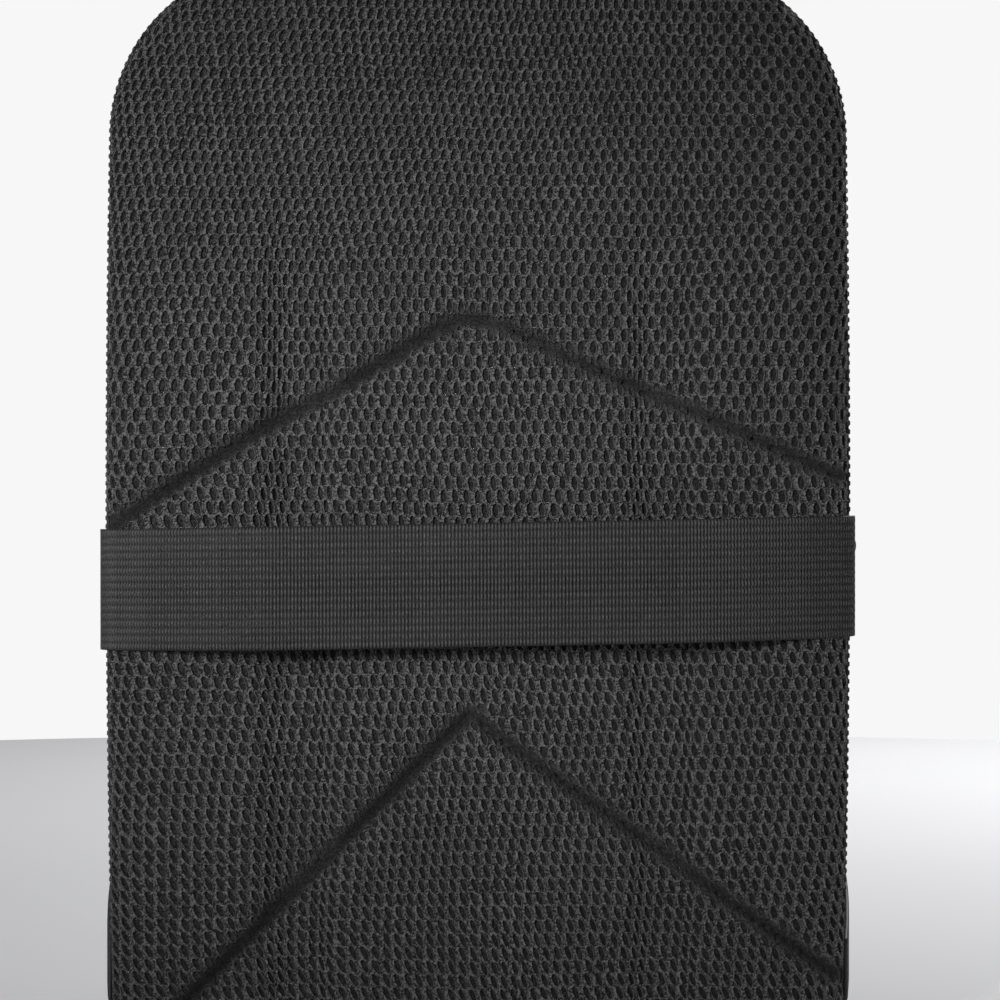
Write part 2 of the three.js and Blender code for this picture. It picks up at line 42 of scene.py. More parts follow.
# The bag in metres: the padded back faces -Y, the pocket side +Y, and the base stands on z = 0.
bag = {
    "height": 0.460,
    "halfWidth": 0.152,
    "sideSwell": 0.003,  # how far the sides bow out at mid height
    "baseCorner": 0.026,
    "topCorner": 0.072,
    "backY": -0.082,  # seam between back and gusset
    "depthBase": 0.162,
    "depthTop": 0.116,
    "gussetSwell": 0.004,
    "frontTaper": 0.007,  # how much smaller the front seam's outline is
    "frontRise": 0.021,  # crown of the front panel over its seam
    "frontMiddleZ": 0.215,
}


# Numbers
def lerp(a, b, share):
    return a + (b - a) * share


def smoothstep(value, low, high):
    share = np.clip((value - low) / (high - low), 0, 1)
    return share * share * (3 - 2 * share)


def bell(distance, width):
    return np.exp(-((distance / width) ** 2))


def signedPower(value, power):
    return np.sign(value) * np.abs(value) ** power


def unit(vectors):
    return vectors / np.linalg.norm(vectors, axis=-1, keepdims=True)


def ripple(x, z, size, seed):
    # soft folds: a few sines that never line up, about -1 to 1
    a, b = x / size, z / size
    waves = np.sin(2.1 * a + 1.3 * b + seed) + np.sin(-1.1 * a + 2.7 * b + 1.7 * seed)
    return (waves + np.sin(3.9 * a - 0.8 * b + 2.9 * seed) * 0.6) / 2.6


def insideBy(x, z, half, halfHeight, radius):
    # distance in from the edge of a rectangle with round corners
    overX, overZ = np.abs(x) - (half - radius), np.abs(z) - (halfHeight - radius)
    corner = np.hypot(np.maximum(overX, 0), np.maximum(overZ, 0))
    return radius - (corner + np.minimum(np.maximum(overX, overZ), 0))


def reachAlong(path):
    return np.concatenate([[0], np.cumsum(np.linalg.norm(np.diff(path, axis=0), axis=1))])


def evenly(path, count, axes=2):
    # the same path with its points an even distance apart
    reach = reachAlong(path[:, :axes])
    at = np.linspace(0, reach[-1], count)
    return np.stack([np.interp(at, reach, path[:, k]) for k in range(path.shape[1])], -1)


def smoothLine(points, count):
    # even steps along a centripetal curve through the points, and where on it each point is
    p = np.array(points)
    p = np.concatenate([[2 * p[0] - p[1]], p, [2 * p[-1] - p[-2]]])
    t = np.concatenate([[0], np.cumsum(np.sqrt(np.diff(reachAlong(p))))])
    between = 20
    fine = []
    for i in range(1, len(p) - 2):
        s = np.linspace(t[i], t[i + 1], between, endpoint=False)[:, None]
        a = [lerp(p[i - 1 + k], p[i + k], (s - t[i - 1 + k]) / (t[i + k] - t[i - 1 + k])) for k in range(3)]
        b = [lerp(a[k], a[k + 1], (s - t[i - 1 + k]) / (t[i + 1 + k] - t[i - 1 + k])) for k in range(2)]
        fine.append(lerp(b[0], b[1], (s - t[i]) / (t[i + 1] - t[i])))
    fine = np.concatenate(fine + [p[-2:-1]])
    return evenly(fine, count, 3), reachAlong(fine)[::between]


# Meshes
def gridFaces(rows, columns, loop=False):
    r, c = np.meshgrid(np.arange(rows - 1), np.arange(columns if loop else columns - 1), indexing="ij")
    first, after = r * columns + c, r * columns + (c + 1) % columns
    return np.stack([first, after, after + columns, first + columns], -1).reshape(-1, 4)


def tubeFaces(rows, columns):
    # the sides of a tube and its two ends
    last = (rows - 1) * columns
    ends = [list(range(columns - 1, -1, -1)), list(range(last, last + columns))]
    return list(gridFaces(rows, columns, True)) + ends


def outward(mesh):
    work = bmesh.new()
    work.from_mesh(mesh)
    bmesh.ops.recalc_face_normals(work, faces=work.faces)
    work.to_mesh(mesh)
    work.free()


def inScene(name, data):
    thing = bpy.data.objects.new(name, data)
    scene.collection.objects.link(thing)
    return thing


def makePiece(name, points, faces, material=None, flat=None, closed=True):
    mesh = bpy.data.meshes.new(name)
    corners = [list(map(int, face)) for face in faces]
    mesh.from_pydata(np.asarray(points).reshape(-1, 3).tolist(), [], corners)
    if flat is not None:
        corner = np.zeros(len(mesh.loops), np.int32)
        mesh.loops.foreach_get("vertex_index", corner)
        uv = np.asarray(flat, np.float32).reshape(-1, 2)[corner]
        mesh.uv_layers.new(name="cloth").data.foreach_set("uv", uv.ravel())
    if closed:
        outward(mesh)
    mesh.shade_smooth()
    if material:
        mesh.materials.append(material)
    return inScene(name, mesh)


def pointValues(piece, name, values, kind="FLOAT"):
    field = "value" if kind == "FLOAT" else "vector"
    layer = piece.data.attributes.new(name, kind, "POINT")
    layer.data.foreach_set(field, np.asarray(values, np.float32).ravel())


def faceOut(piece, middle):
    # turns an open sheet's faces away from a point
    outwardness = sum((face.center - Vector(middle)).dot(face.normal) for face in piece.data.polygons)
    if outwardness < 0:
        piece.data.flip_normals()


def dropGuide(guide):
    mesh = guide.data
    bpy.data.objects.remove(guide)
    bpy.data.meshes.remove(mesh)


def plainMesh(piece):
    # the mesh that the piece's modifiers make
    depsgraph = bpy.context.evaluated_depsgraph_get()
    shown = piece.evaluated_get(depsgraph)
    return bpy.data.meshes.new_from_object(shown, preserve_all_data_layers=True, depsgraph=depsgraph)


def thickened(piece, thickness, offset=-1):
    thick = piece.modifiers.new("thick", "SOLIDIFY")
    thick.thickness = thickness
    thick.offset = offset
    name, mesh = piece.name, plainMesh(piece)
    dropGuide(piece)
    return inScene(name, mesh)


def finished(piece, slot, *nodes):
    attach(piece, "root")
    if nodes:
        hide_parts(*nodes)
    return piece


# Node trees
def link(tree, socket, value):
    if isinstance(value, bpy.types.NodeSocket):
        tree.links.new(value, socket)
    elif value is not None:
        socket.default_value = value


def addNode(tree, kind, inputs=None, **settings):
    # adds a node, fills its inputs and gives its outputs
    node = tree.nodes.new(kind)
    for key, value in settings.items():
        setattr(node, key, value)
    for key, value in (inputs or {}).items():
        link(tree, node.inputs[key], value)
    return node.outputs


def calc(tree, operation, *values):
    return addNode(tree, "ShaderNodeMath", dict(enumerate(values)), operation=operation)[0]


def vectorCalc(tree, operation, inputs):
    return addNode(tree, "ShaderNodeVectorMath", inputs, operation=operation)[0]


def newGroup(kind, name, inputs, outputs):
    tree = bpy.data.node_groups.new(name, kind)
    for direction, sockets in (("INPUT", inputs), ("OUTPUT", outputs)):
        for label, socketKind in sockets.items():
            tree.interface.new_socket(label, in_out=direction, socket_type="NodeSocket" + socketKind)
    return tree, tree.nodes.new("NodeGroupInput").outputs, tree.nodes.new("NodeGroupOutput").inputs


def namedValue(tree, name, kind):
    return addNode(tree, "GeometryNodeInputNamedAttribute", {"Name": name}, data_type=kind)["Attribute"]


def storedValue(tree, geometry, name, value, kind):
    values = {"Geometry": geometry, "Name": name, "Value": value}
    return addNode(tree, "GeometryNodeStoreNamedAttribute", values, data_type=kind)[0]


def copiesOn(tree, points, tile, rotation=None):
    shape = addNode(tree, "GeometryNodeObjectInfo", {"Object": tile})["Geometry"]
    values = {"Points": points, "Instance": shape, "Rotation": rotation}
    copies = addNode(tree, "GeometryNodeInstanceOnPoints", values)[0]
    return addNode(tree, "GeometryNodeRealizeInstances", {0: copies})[0]


def endTree(tree, geometry, given, result):
    smooth = addNode(tree, "GeometryNodeSetShadeSmooth", {0: geometry})[0]
    values = {"Geometry": smooth, "Material": given["Finish"]}
    link(tree, result["Geometry"], addNode(tree, "GeometryNodeSetMaterial", values)[0])
    return tree


# Lays a flat tile over a surface, row by row, following the surface's own cloth UV map in metres.
# The tile's x and y lie across and along the cloth, and its z stands off it, less where it is pressed.
def buildWrapTree():
    sockets = {"Geometry": "Geometry", "Tile": "Object", "Finish": "Material", "Start": "Vector"}
    sockets |= {"Pitch across": "Float", "Pitch along": "Float", "Count across": "Int", "Count along": "Int"}
    sockets |= {"Stagger": "Float", "Lift": "Float"}
    tree, given, result = newGroup("GeometryNodeTree", "wrapTile", sockets, {"Geometry": "Geometry"})
    countX, countY = given["Count across"], given["Count along"]
    lastColumn, lastRow = calc(tree, "SUBTRACT", countX, 1.0), calc(tree, "SUBTRACT", countY, 1.0)
    values = {"Size X": lastColumn, "Size Y": lastRow, "Vertices X": countX, "Vertices Y": countY}
    lattice = addNode(tree, "GeometryNodeMeshGrid", values)[0]
    position = addNode(tree, "GeometryNodeInputPosition")[0]
    place = addNode(tree, "ShaderNodeSeparateXYZ", {0: position})
    column = calc(tree, "MULTIPLY_ADD", lastColumn, 0.5, place["X"])
    row = calc(tree, "ROUND", calc(tree, "MULTIPLY_ADD", lastRow, 0.5, place["Y"]))
    shifted = calc(tree, "MULTIPLY_ADD", calc(tree, "MODULO", row, 2.0), given["Stagger"], column)
    start = addNode(tree, "ShaderNodeSeparateXYZ", {0: given["Start"]})
    spotX = calc(tree, "MULTIPLY_ADD", shifted, given["Pitch across"], start["X"])
    spotY = calc(tree, "MULTIPLY_ADD", row, given["Pitch along"], start["Y"])
    spot = addNode(tree, "ShaderNodeCombineXYZ", {"X": spotX, "Y": spotY})[0]
    spaced = addNode(tree, "GeometryNodeSetPosition", {"Geometry": lattice, "Position": spot})[0]
    joined = copiesOn(tree, spaced, given["Tile"])
    welded = addNode(tree, "GeometryNodeMergeByDistance", {"Geometry": joined, "Distance": 2e-5})[0]
    cloth = namedValue(tree, "cloth", "FLOAT_VECTOR")

    def onSurface(value, kind):
        inputs = {"Mesh": given["Geometry"], "Value": value, "UV Map": cloth, "Sample UV": position}
        return addNode(tree, "GeometryNodeSampleUVSurface", inputs, data_type=kind)

    def choose(operation, *inputs):
        return addNode(tree, "FunctionNodeBooleanMath", dict(enumerate(inputs)), operation=operation)[0]

    ground = onSurface(position, "FLOAT_VECTOR")
    normal = onSurface(addNode(tree, "GeometryNodeInputNormal")[0], "FLOAT_VECTOR")[0]
    out = vectorCalc(tree, "NORMALIZE", {0: normal})
    held = onSurface(namedValue(tree, "pressed", "FLOAT"), "FLOAT")[0]
    free = calc(tree, "SUBTRACT", 1.0, held)
    height = calc(tree, "MULTIPLY_ADD", place["Z"], free, given["Lift"])
    offset = vectorCalc(tree, "SCALE", {0: out, "Scale": height})
    laid = vectorCalc(tree, "ADD", {0: ground[0], 1: offset})
    sunk = calc(tree, "GREATER_THAN", held, 0.9)  # knit that is pressed flat is left to the surface below
    off = choose("NOT", choose("NIMPLY", ground["Is Valid"], sunk))
    trimmed = addNode(tree, "GeometryNodeDeleteGeometry", {"Geometry": welded, "Selection": off})[0]
    kept = storedValue(tree, trimmed, "flat", position, "FLOAT_VECTOR")
    kept = storedValue(tree, kept, "pressed", held, "FLOAT")
    worn = addNode(tree, "GeometryNodeSetPosition", {"Geometry": kept, "Position": laid})[0]
    return endTree(tree, worn, given, result)


# Sets a tile along a line, square to the line's tangent and standing up along its own "up" direction.
def buildRowTree():
    sockets = {"Geometry": "Geometry", "Tile": "Object", "Finish": "Material", "Pitch": "Float"}
    tree, given, result = newGroup("GeometryNodeTree", "rowOfTiles", sockets, {"Geometry": "Geometry"})
    curve = addNode(tree, "GeometryNodeMeshToCurve", {0: given["Geometry"]})[0]
    values = {"Curve": curve, "Length": given["Pitch"]}
    spots = addNode(tree, "GeometryNodeCurveToPoints", values, mode="LENGTH")
    up = namedValue(tree, "up", "FLOAT_VECTOR")
    stand = addNode(tree, "FunctionNodeAlignRotationToVector", {"Vector": up}, axis="Z")[0]
    values = {"Rotation": stand, "Vector": spots["Tangent"]}
    turn = addNode(tree, "FunctionNodeAlignRotationToVector", values, axis="X", pivot_axis="Z")[0]
    return endTree(tree, copiesOn(tree, spots["Points"], given["Tile"], turn), given, result)


wrapTree = buildWrapTree()
rowTree = buildRowTree()


def grow(name, surface, tree, values):
    # runs a tree on the surface's mesh and keeps what comes out as a piece of its own
    modifier = surface.modifiers.new("grow", "NODES")
    modifier.node_group = tree
    for socket in tree.interface.items_tree:
        if socket.in_out == "INPUT" and socket.name in values:
            modifier[socket.identifier] = values[socket.name]
    surface.update_tag()
    made = plainMesh(surface)
    surface.modifiers.remove(modifier)
    made.name = name
    return inScene(name, made)


def layTiles(name, surface, tile, finish, first, pitch, count, stagger, lift):
    # lays a tile over the surface from its first cell on, and drops the tile
    values = {"Tile": tile, "Finish": finish, "Stagger": stagger, "Lift": lift}
    values |= {"Start": (first[0] * pitch[0], first[1] * pitch[1], 0)}
    values |= {"Pitch across": pitch[0], "Pitch along": pitch[1]}
    values |= {"Count across": count[0], "Count along": count[1]}
    laid = grow(name, surface, wrapTree, values)
    dropGuide(tile)
    return laid


print("tools ready")


# Finishes
def ranged(tree, value, low, high, first=0.0, last=1.0):
    return addNode(tree, "ShaderNodeMapRange", {0: value, 1: low, 2: high, 3: first, 4: last})[0]


def mixed(tree, factor, first, second, **settings):
    inputs = {"Factor": factor, 6: first, 7: second}
    return addNode(tree, "ShaderNodeMix", inputs, data_type="RGBA", **settings)[2]


def buildYarnGrain():
    # fine speckle of spun yarn, with slow changes of tone
    sockets = {"Place": "Vector", "Grain": "Float", "Dark": "Color", "Light": "Color"}
    outputs = {"Colour": "Color", "Height": "Float"}
    tree, given, result = newGroup("ShaderNodeTree", "yarnGrain", sockets, outputs)
    place, grain = given["Place"], given["Grain"]
    noise = {"Vector": place, "Scale": grain, "Detail": 1.0, "Roughness": 0.7}
    fine = addNode(tree, "ShaderNodeTexNoise", noise)[0]
    noise = {"Vector": place, "Scale": calc(tree, "MULTIPLY", grain, 0.02), "Detail": 2.0}
    slow = addNode(tree, "ShaderNodeTexNoise", noise)[0]
    tone = calc(tree, "MULTIPLY_ADD", slow, 0.5, 0.75)
    speck = calc(tree, "MULTIPLY", ranged(tree, fine, 0.40, 0.64), tone)
    link(tree, result["Colour"], mixed(tree, speck, given["Dark"], given["Light"]))
    link(tree, result["Height"], fine)
    return tree


def buildPlainWeave():
    # over-and-under weave of two sets of threads; its Shade is painted shade in the low parts between threads
    sockets, outputs = {"Place": "Vector", "Threads": "Float"}, {"Height": "Float", "Shade": "Float"}
    tree, given, result = newGroup("ShaderNodeTree", "plainWeave", sockets, outputs)
    place = addNode(tree, "ShaderNodeSeparateXYZ", {0: given["Place"]})
    threads = [calc(tree, "MULTIPLY", place[axis], given["Threads"]) for axis in "XY"]
    waves = [calc(tree, "SINE", calc(tree, "MULTIPLY", thread, math.pi)) for thread in threads]
    ridges = [calc(tree, "ABSOLUTE", wave) for wave in waves]
    step = calc(tree, "ADD", *(calc(tree, "FLOOR", thread) for thread in threads))
    over = calc(tree, "ABSOLUTE", calc(tree, "MODULO", step, 2.0))
    crossed = zip(ridges, ridges[::-1])
    warp, weft = (
        calc(tree, "MULTIPLY", ridge, calc(tree, "MULTIPLY_ADD", other, 0.5, 0.5)) for ridge, other in crossed
    )
    height = addNode(tree, "ShaderNodeMix", {"Factor": over, 2: warp, 3: weft})[0]
    link(tree, result["Height"], height)
    link(tree, result["Shade"], calc(tree, "MULTIPLY_ADD", height, 0.6, 0.4))
    return tree


def buildLint():
    # a few pale specks of lint
    sockets = {"Place": "Vector", "Spread": "Float"}
    tree, given, result = newGroup("ShaderNodeTree", "lint", sockets, {"Mask": "Float"})
    values = {"Vector": given["Place"], "Scale": given["Spread"]}
    cells = addNode(tree, "ShaderNodeTexVoronoi", values)
    chance = addNode(tree, "ShaderNodeSeparateColor", {0: cells["Color"]})[0]
    chosen = calc(tree, "GREATER_THAN", chance, 0.93)
    near = calc(tree, "LESS_THAN", cells["Distance"], 0.045)
    link(tree, result["Mask"], calc(tree, "MULTIPLY", chosen, near))
    return tree


yarnGrain = buildYarnGrain()
plainWeave = buildPlainWeave()
lint = buildLint()


def newFinish(name, **shader):
    material = bpy.data.materials.new(name)
    material.use_nodes = True
    tree = material.node_tree
    surface = tree.nodes["Principled BSDF"]
    for key, value in shader.items():
        surface.inputs[key.replace("_", " ")].default_value = value
    return material, tree, surface


def grey(value):
    return (value, value, value * 1.02, 1.0)


def grouped(tree, group, inputs):
    node = tree.nodes.new("ShaderNodeGroup")
    node.node_tree = group
    for key, value in inputs.items():
        link(tree, node.inputs[key], value)
    return node.outputs


def spun(tree, place, grain, dark, light):
    values = {"Place": place, "Grain": grain, "Dark": grey(dark), "Light": grey(light)}
    return grouped(tree, yarnGrain, values)


def objectPlace(tree):
    return addNode(tree, "ShaderNodeTexCoord")["Object"]


def standing(tree, height):
    # how high a laid pattern stands, as a share of its full height, which the finishes use to paint shade
    # into its low parts
    flat = addNode(tree, "ShaderNodeAttribute", attribute_name="flat")["Vector"]
    return ranged(tree, addNode(tree, "ShaderNodeSeparateXYZ", {0: flat})["Z"], 0.0, height)


def dressed(tree, surface, colour, height, distance, strength=1.0):
    # gives the surface its colour, and its grain as a bump
    values = {"Height": height, "Distance": distance, "Strength": strength}
    link(tree, surface.inputs["Base Color"], colour)
    link(tree, surface.inputs["Normal"], addNode(tree, "ShaderNodeBump", values)[0])


def pressedFuzzAndGrooveShade(tree, place, colour):
    # the mesh turns to flat fuzz where it is pressed down, and to darker fuzz deep in a groove, which is
    # painted groove shade
    flat = spun(tree, place, grain=1200.0, dark=0.012, light=0.075)
    # painted groove shade: a darker fuzz where the mesh is pressed deepest
    dark = spun(tree, place, grain=1000.0, dark=0.003, light=0.026)
    pressed = addNode(tree, "ShaderNodeAttribute", attribute_name="pressed")["Fac"]
    begun, deep = ranged(tree, pressed, 0.08, 0.5), ranged(tree, pressed, 0.45, 0.95)
    return mixed(tree, deep, mixed(tree, begun, colour, flat["Colour"]), dark["Colour"])


def airMeshFinish():
    material, tree, surface = newFinish("airMesh", Roughness=0.85, Specular_IOR_Level=0.2, Sheen_Weight=0.1)
    place = objectPlace(tree)
    yarn = spun(tree, place, grain=1250.0, dark=0.007, light=0.2)
    specks = grouped(tree, lint, {"Place": place, "Spread": 150.0})
    # painted shade: the knit darkens down into each hole, by how high it stands
    colour = mixed(tree, standing(tree, netCell["deep"]), grey(0.008), yarn["Colour"])
    colour = mixed(tree, specks["Mask"], colour, grey(0.28))
    dressed(tree, surface, pressedFuzzAndGrooveShade(tree, place, colour), yarn["Height"], 0.0003, 0.6)
    return material


def meshFloorFinish(name, sided):
    # what shows through the holes; on the pad it gets painted light, paler at the left and most of all at the
    # top
    material, tree, surface = newFinish(name, Roughness=0.95)
    place = objectPlace(tree)
    deep = spun(tree, place, grain=1100.0, dark=0.001, light=0.042)
    colour = deep["Colour"]
    if sided:
        # painted light: the floor seen through the holes is lighter towards the left, and more so at the top
        # left
        x, _, z = addNode(tree, "ShaderNodeSeparateXYZ", {0: place})
        left = ranged(tree, x, -0.12, 0.12, 0.8, 0.55)
        paintedTopLeftLight = ranged(tree, x, -0.12, 0.06, 0.3, 0.1)
        tone = calc(tree, "MULTIPLY_ADD", paintedTopLeftLight, ranged(tree, z, 0.28, 0.38), left)
        colour = vectorCalc(tree, "SCALE", {0: colour, "Scale": tone})
    dressed(tree, surface, pressedFuzzAndGrooveShade(tree, place, colour), deep["Height"], 0.0003)
    return material


def webbingFinish(name, ribHeight):
    material, tree, surface = newFinish(name, Roughness=0.6, Sheen_Weight=0.08)
    yarn = spun(tree, objectPlace(tree), grain=1900.0, dark=0.014, light=0.082)
    colour = yarn["Colour"]
    if ribHeight:
        # painted shade in the valleys between the ribs
        colour = mixed(tree, calc(tree, "POWER", standing(tree, ribHeight), 1.8), grey(0.001), colour)
    dressed(tree, surface, colour, yarn["Height"], 0.00015, 0.5)
    return material


def clothFinish(name, dark, light):
    material, tree, surface = newFinish(name, Roughness=0.7, Sheen_Weight=0.1, Sheen_Roughness=0.5)
    place = addNode(tree, "ShaderNodeUVMap", uv_map="cloth")[0]
    weave = grouped(tree, plainWeave, {"Place": place, "Threads": shell["threads"]})
    around = objectPlace(tree)
    worn = spun(tree, around, grain=900.0, dark=0.6, light=1.0)
    dust = grouped(tree, lint, {"Place": around, "Spread": 90.0})
    # painted shade between the threads, from the weave's Shade
    colour = mixed(tree, weave["Shade"], grey(dark), grey(light))
    colour = mixed(tree, 1.0, colour, worn["Colour"], blend_type="MULTIPLY")
    colour = mixed(tree, dust["Mask"], colour, grey(0.25))
    dressed(tree, surface, colour, weave["Height"], 0.00025, 0.7)
    return material


def plainFinish(name, tone, roughness, grain, depth):
    material, tree, surface = newFinish(name, Roughness=roughness)
    speck = spun(tree, objectPlace(tree), grain, tone * 0.7, tone * 1.4)
    dressed(tree, surface, speck["Colour"], speck["Height"], depth, 0.5)
    return material


def floorFinish():
    material, tree, surface = newFinish("paleFloor", Roughness=0.9)
    tone = addNode(tree, "ShaderNodeTexNoise", {"Vector": objectPlace(tree), "Scale": 3.0})[0]
    link(tree, surface.inputs["Base Color"], mixed(tree, tone, grey(0.84), grey(0.88)))
    return material


print("finishes ready")


# Outline of the bag seen from behind, from the middle of the base round by the right, with outward normals.
def sideHalf(z):
    return bag["halfWidth"] + bag["sideSwell"] * np.sin(np.pi * z / bag["height"])


def halfOutline(step=0.002):
    low, radius = bag["baseCorner"], bag["topCorner"]
    high = bag["height"] - radius

    def arc(centreX, centreZ, radius, start, end):
        angle = np.linspace(start, end, max(int(radius * abs(end - start) / step), 8))
        nx, nz = np.cos(angle), np.sin(angle)
        return np.stack([centreX + radius * nx, centreZ + radius * nz, nx, nz], -1)

    def straight(x, z, nx, nz):
        return np.stack([x, z, np.full_like(x, nx), np.full_like(x, nz)], -1)

    baseX = np.arange(0, sideHalf(low) - low, step)
    sideZ = np.arange(low + step, high, step)
    topX = np.arange(sideHalf(high) - radius - step, -step / 2, -step)
    base = straight(baseX, np.zeros_like(baseX), 0, -1)
    lowCorner = arc(sideHalf(low) - low, low, low, -math.pi / 2, 0)
    side = straight(sideHalf(sideZ), sideZ, 1, 0)
    highCorner = arc(sideHalf(high) - radius, high, radius, 0, math.pi / 2)
    top = straight(topX, np.full_like(topX, bag["height"]), 0, 1)
    return np.concatenate([base, lowCorner, side, highCorner, top])


def mirrored(half):
    return (half * [-1, 1, -1, 1])[::-1]


def nearestNormal(nx, nz):
    return int(np.argmin(np.hypot(rightHalf[:, 2] - nx, rightHalf[:, 3] - nz)))


rightHalf = halfOutline()
diagonal = 0.7071
cornerLow, cornerHigh = nearestNormal(diagonal, -diagonal), nearestNormal(diagonal, diagonal)


# The outline in four stretches between its corners: base, right side, top, left side.
def outlineSides(count):
    leftHalf = mirrored(rightHalf)
    base = np.concatenate([leftHalf[len(leftHalf) - 1 - cornerLow :], rightHalf[1 : cornerLow + 1]])
    right = rightHalf[cornerLow : cornerHigh + 1]
    top = np.concatenate([rightHalf[cornerHigh:], leftHalf[1 : len(leftHalf) - cornerHigh]])
    return [evenly(stretch, count) for stretch in (base, right, top, mirrored(right))]


# A square grid pulled out to fill a rim, so that its rings run along the rim. Crowd packs rings at the edge.
def ringGrid(sides, centre, count, crowd):
    i, j = np.meshgrid(np.arange(-count, count + 1), np.arange(-count, count + 1))
    ring = np.maximum(abs(i), abs(j))
    side = np.select([j == -ring, i == ring, j == ring], [0, 1, 2], 3)
    along = np.choose(side, [i + ring, j + ring, ring - i, ring - j]) / (2 * np.maximum(ring, 1))
    table = np.array(sides)[:, :, :2]
    at = along * (table.shape[1] - 1)
    before = np.minimum(at.astype(int), table.shape[1] - 2)
    share = (at - before)[..., None]
    rim = lerp(table[side, before], table[side, before + 1], share)
    reach = 1 - (1 - ring / count) ** crowd
    return centre + reach[..., None] * (rim - centre)


def borderLoop(size):
    run, last = np.arange(size - 1), size - 1
    return np.concatenate([run, run * size + last, last * size + last - run, (last - run) * size])


def seamShare(size, rings):
    # 0 on a grid's border, rising to 1 over some rings
    i, j = np.meshgrid(np.arange(size), np.arange(size))
    ring = np.minimum(np.minimum(i, j), np.minimum(size - 1 - i, size - 1 - j))
    return smoothstep(ring, 0, rings)


# Back pad: foam under knitted mesh, pressed in along two chevrons.
backPad = {
    "inset": 0.002,
    "innerY": -0.0823,
    "edge": 0.0045,
    "foam": 0.0195,
    "uneven": 0.0006,
    "thinner": 0.0025,  # how much thinner the foam gets towards the top, and from where to where
    "thins": (0.30, 0.44),
    "roll": 0.026,  # width of the rounded edge
    "grooveDepth": 0.0078,
    "belowLine": 0.0013,  # how sharply the lower pad rolls into the groove
    "crease": 0.0005,
    "crownRise": 0.001,  # the lower pad's own roll: its height, its place below the line and its width
    "crownBelow": 0.011,
    "crownWidth": 0.008,
    "halves": (-0.012, 0.012),  # where the left half's values turn into the right half's
    # left and right: where the upper pad starts to slope down, and the mesh is hidden and is first pressed
    "aboveLine": (0.0125, 0.0085),
    "hidden": (0.0030, 0.0013),
    "pressedReach": (0.0100, 0.0052),
    "pressedBelow": (0.0008, 0.0060),  # how far below the line the mesh lies flat on the foam
    "hollowFoot": (0.0, 0.06),  # where the hollows start
    "hollowTop": (0.29, 0.37),  # and where they run out
    "rings": 90,
    "crowd": 1.35,
}
# The chevrons' lines across the back, as x and z.
upperChevron = [
    (-0.160, 0.2160), (-0.112, 0.2462), (-0.086, 0.2630), (-0.050, 0.2820), (-0.016, 0.3028),
    (-0.006, 0.3068), (0.003, 0.3080), (0.012, 0.3062), (0.022, 0.3012),
    (0.054, 0.2864), (0.090, 0.2712), (0.131, 0.2527), (0.160, 0.2400),
]
lowerChevron = [(-0.135, 0.0105), (-0.0018, 0.1452), (0.160, 0.0302)]
# Upright hollows where the back is drawn in: x where each starts, is full, stops being full and ends;
# then its depth.
hollows = [(-0.094, -0.078, -0.066, -0.0555, 0.0066), (0.058, 0.070, 0.085, 0.093, 0.0056)]


def padDistance(x, z):
    # distance in from the pad's edge
    middle = bag["height"] / 2
    radius = np.where(z > middle, bag["topCorner"], bag["baseCorner"])
    return insideBy(x, z - middle, sideHalf(z) - backPad["inset"], middle - backPad["inset"], radius)


def chevronDistance(x, z, line, step=0.002):
    # signed distance from the line, more than 0 above it
    xs, zs = np.array(line).T
    slope = (np.interp(x + step, xs, zs) - np.interp(x - step, xs, zs)) / (2 * step)
    return (z - np.interp(x, xs, zs)) / np.sqrt(1 + slope * slope)


def grooves(x, z):
    # how deep the grooves are, how far the mesh is pressed on the foam, and the roll of the pad below each
    right = smoothstep(x, *backPad["halves"])
    names = ("aboveLine", "hidden", "pressedReach", "pressedBelow")
    above, hidden, reach, beneath = [lerp(*backPad[name], right) for name in names]
    groove = pressed = crown = np.zeros_like(x)
    for line in (upperChevron, lowerChevron):
        d = chevronDistance(x, z, line)
        lower = np.exp(-((np.abs(d) / backPad["belowLine"]) ** 1.5))
        upper = (1 - np.clip(d / above, 0, 1)) ** 2.2
        groove = np.maximum(groove, np.where(d < 0, lower, upper))
        flatBelow = 0.5 * (1 - smoothstep(-d, 0.3 * beneath, beneath)) + 0.5 * bell(d, backPad["crease"])
        pressed = np.maximum(pressed, np.where(d < 0, flatBelow, 1 - smoothstep(d, hidden, reach)))
        crown = np.maximum(crown, bell(d + backPad["crownBelow"], backPad["crownWidth"]))
    return groove, pressed, crown


def hollowDepth(x):
    return sum(deep * (smoothstep(x, a, b) - smoothstep(x, c, d)) for a, b, c, d, deep in hollows)


def hollowEnd(z):
    return 1 - smoothstep(z, *backPad["hollowTop"])


def padShape(x, z):
    # thickness of the pad, and how far its mesh is pressed down
    edge = np.clip(padDistance(x, z) / backPad["roll"], 0, 1)
    roll = np.sqrt(1 - (1 - edge) ** 2)
    foam = backPad["foam"] - backPad["thinner"] * smoothstep(z, *backPad["thins"])
    foam = foam + backPad["uneven"] * ripple(x, z, 0.05, 1.0)
    groove, pressed, crown = grooves(x, z)
    dip = hollowDepth(x) * smoothstep(z, *backPad["hollowFoot"]) * hollowEnd(z)
    thickness = backPad["edge"] + (foam - backPad["edge"]) * roll
    pushedIn = backPad["grooveDepth"] * groove + dip * (1 - 0.6 * groove)
    return thickness + roll * (backPad["crownRise"] * crown - pushedIn), pressed


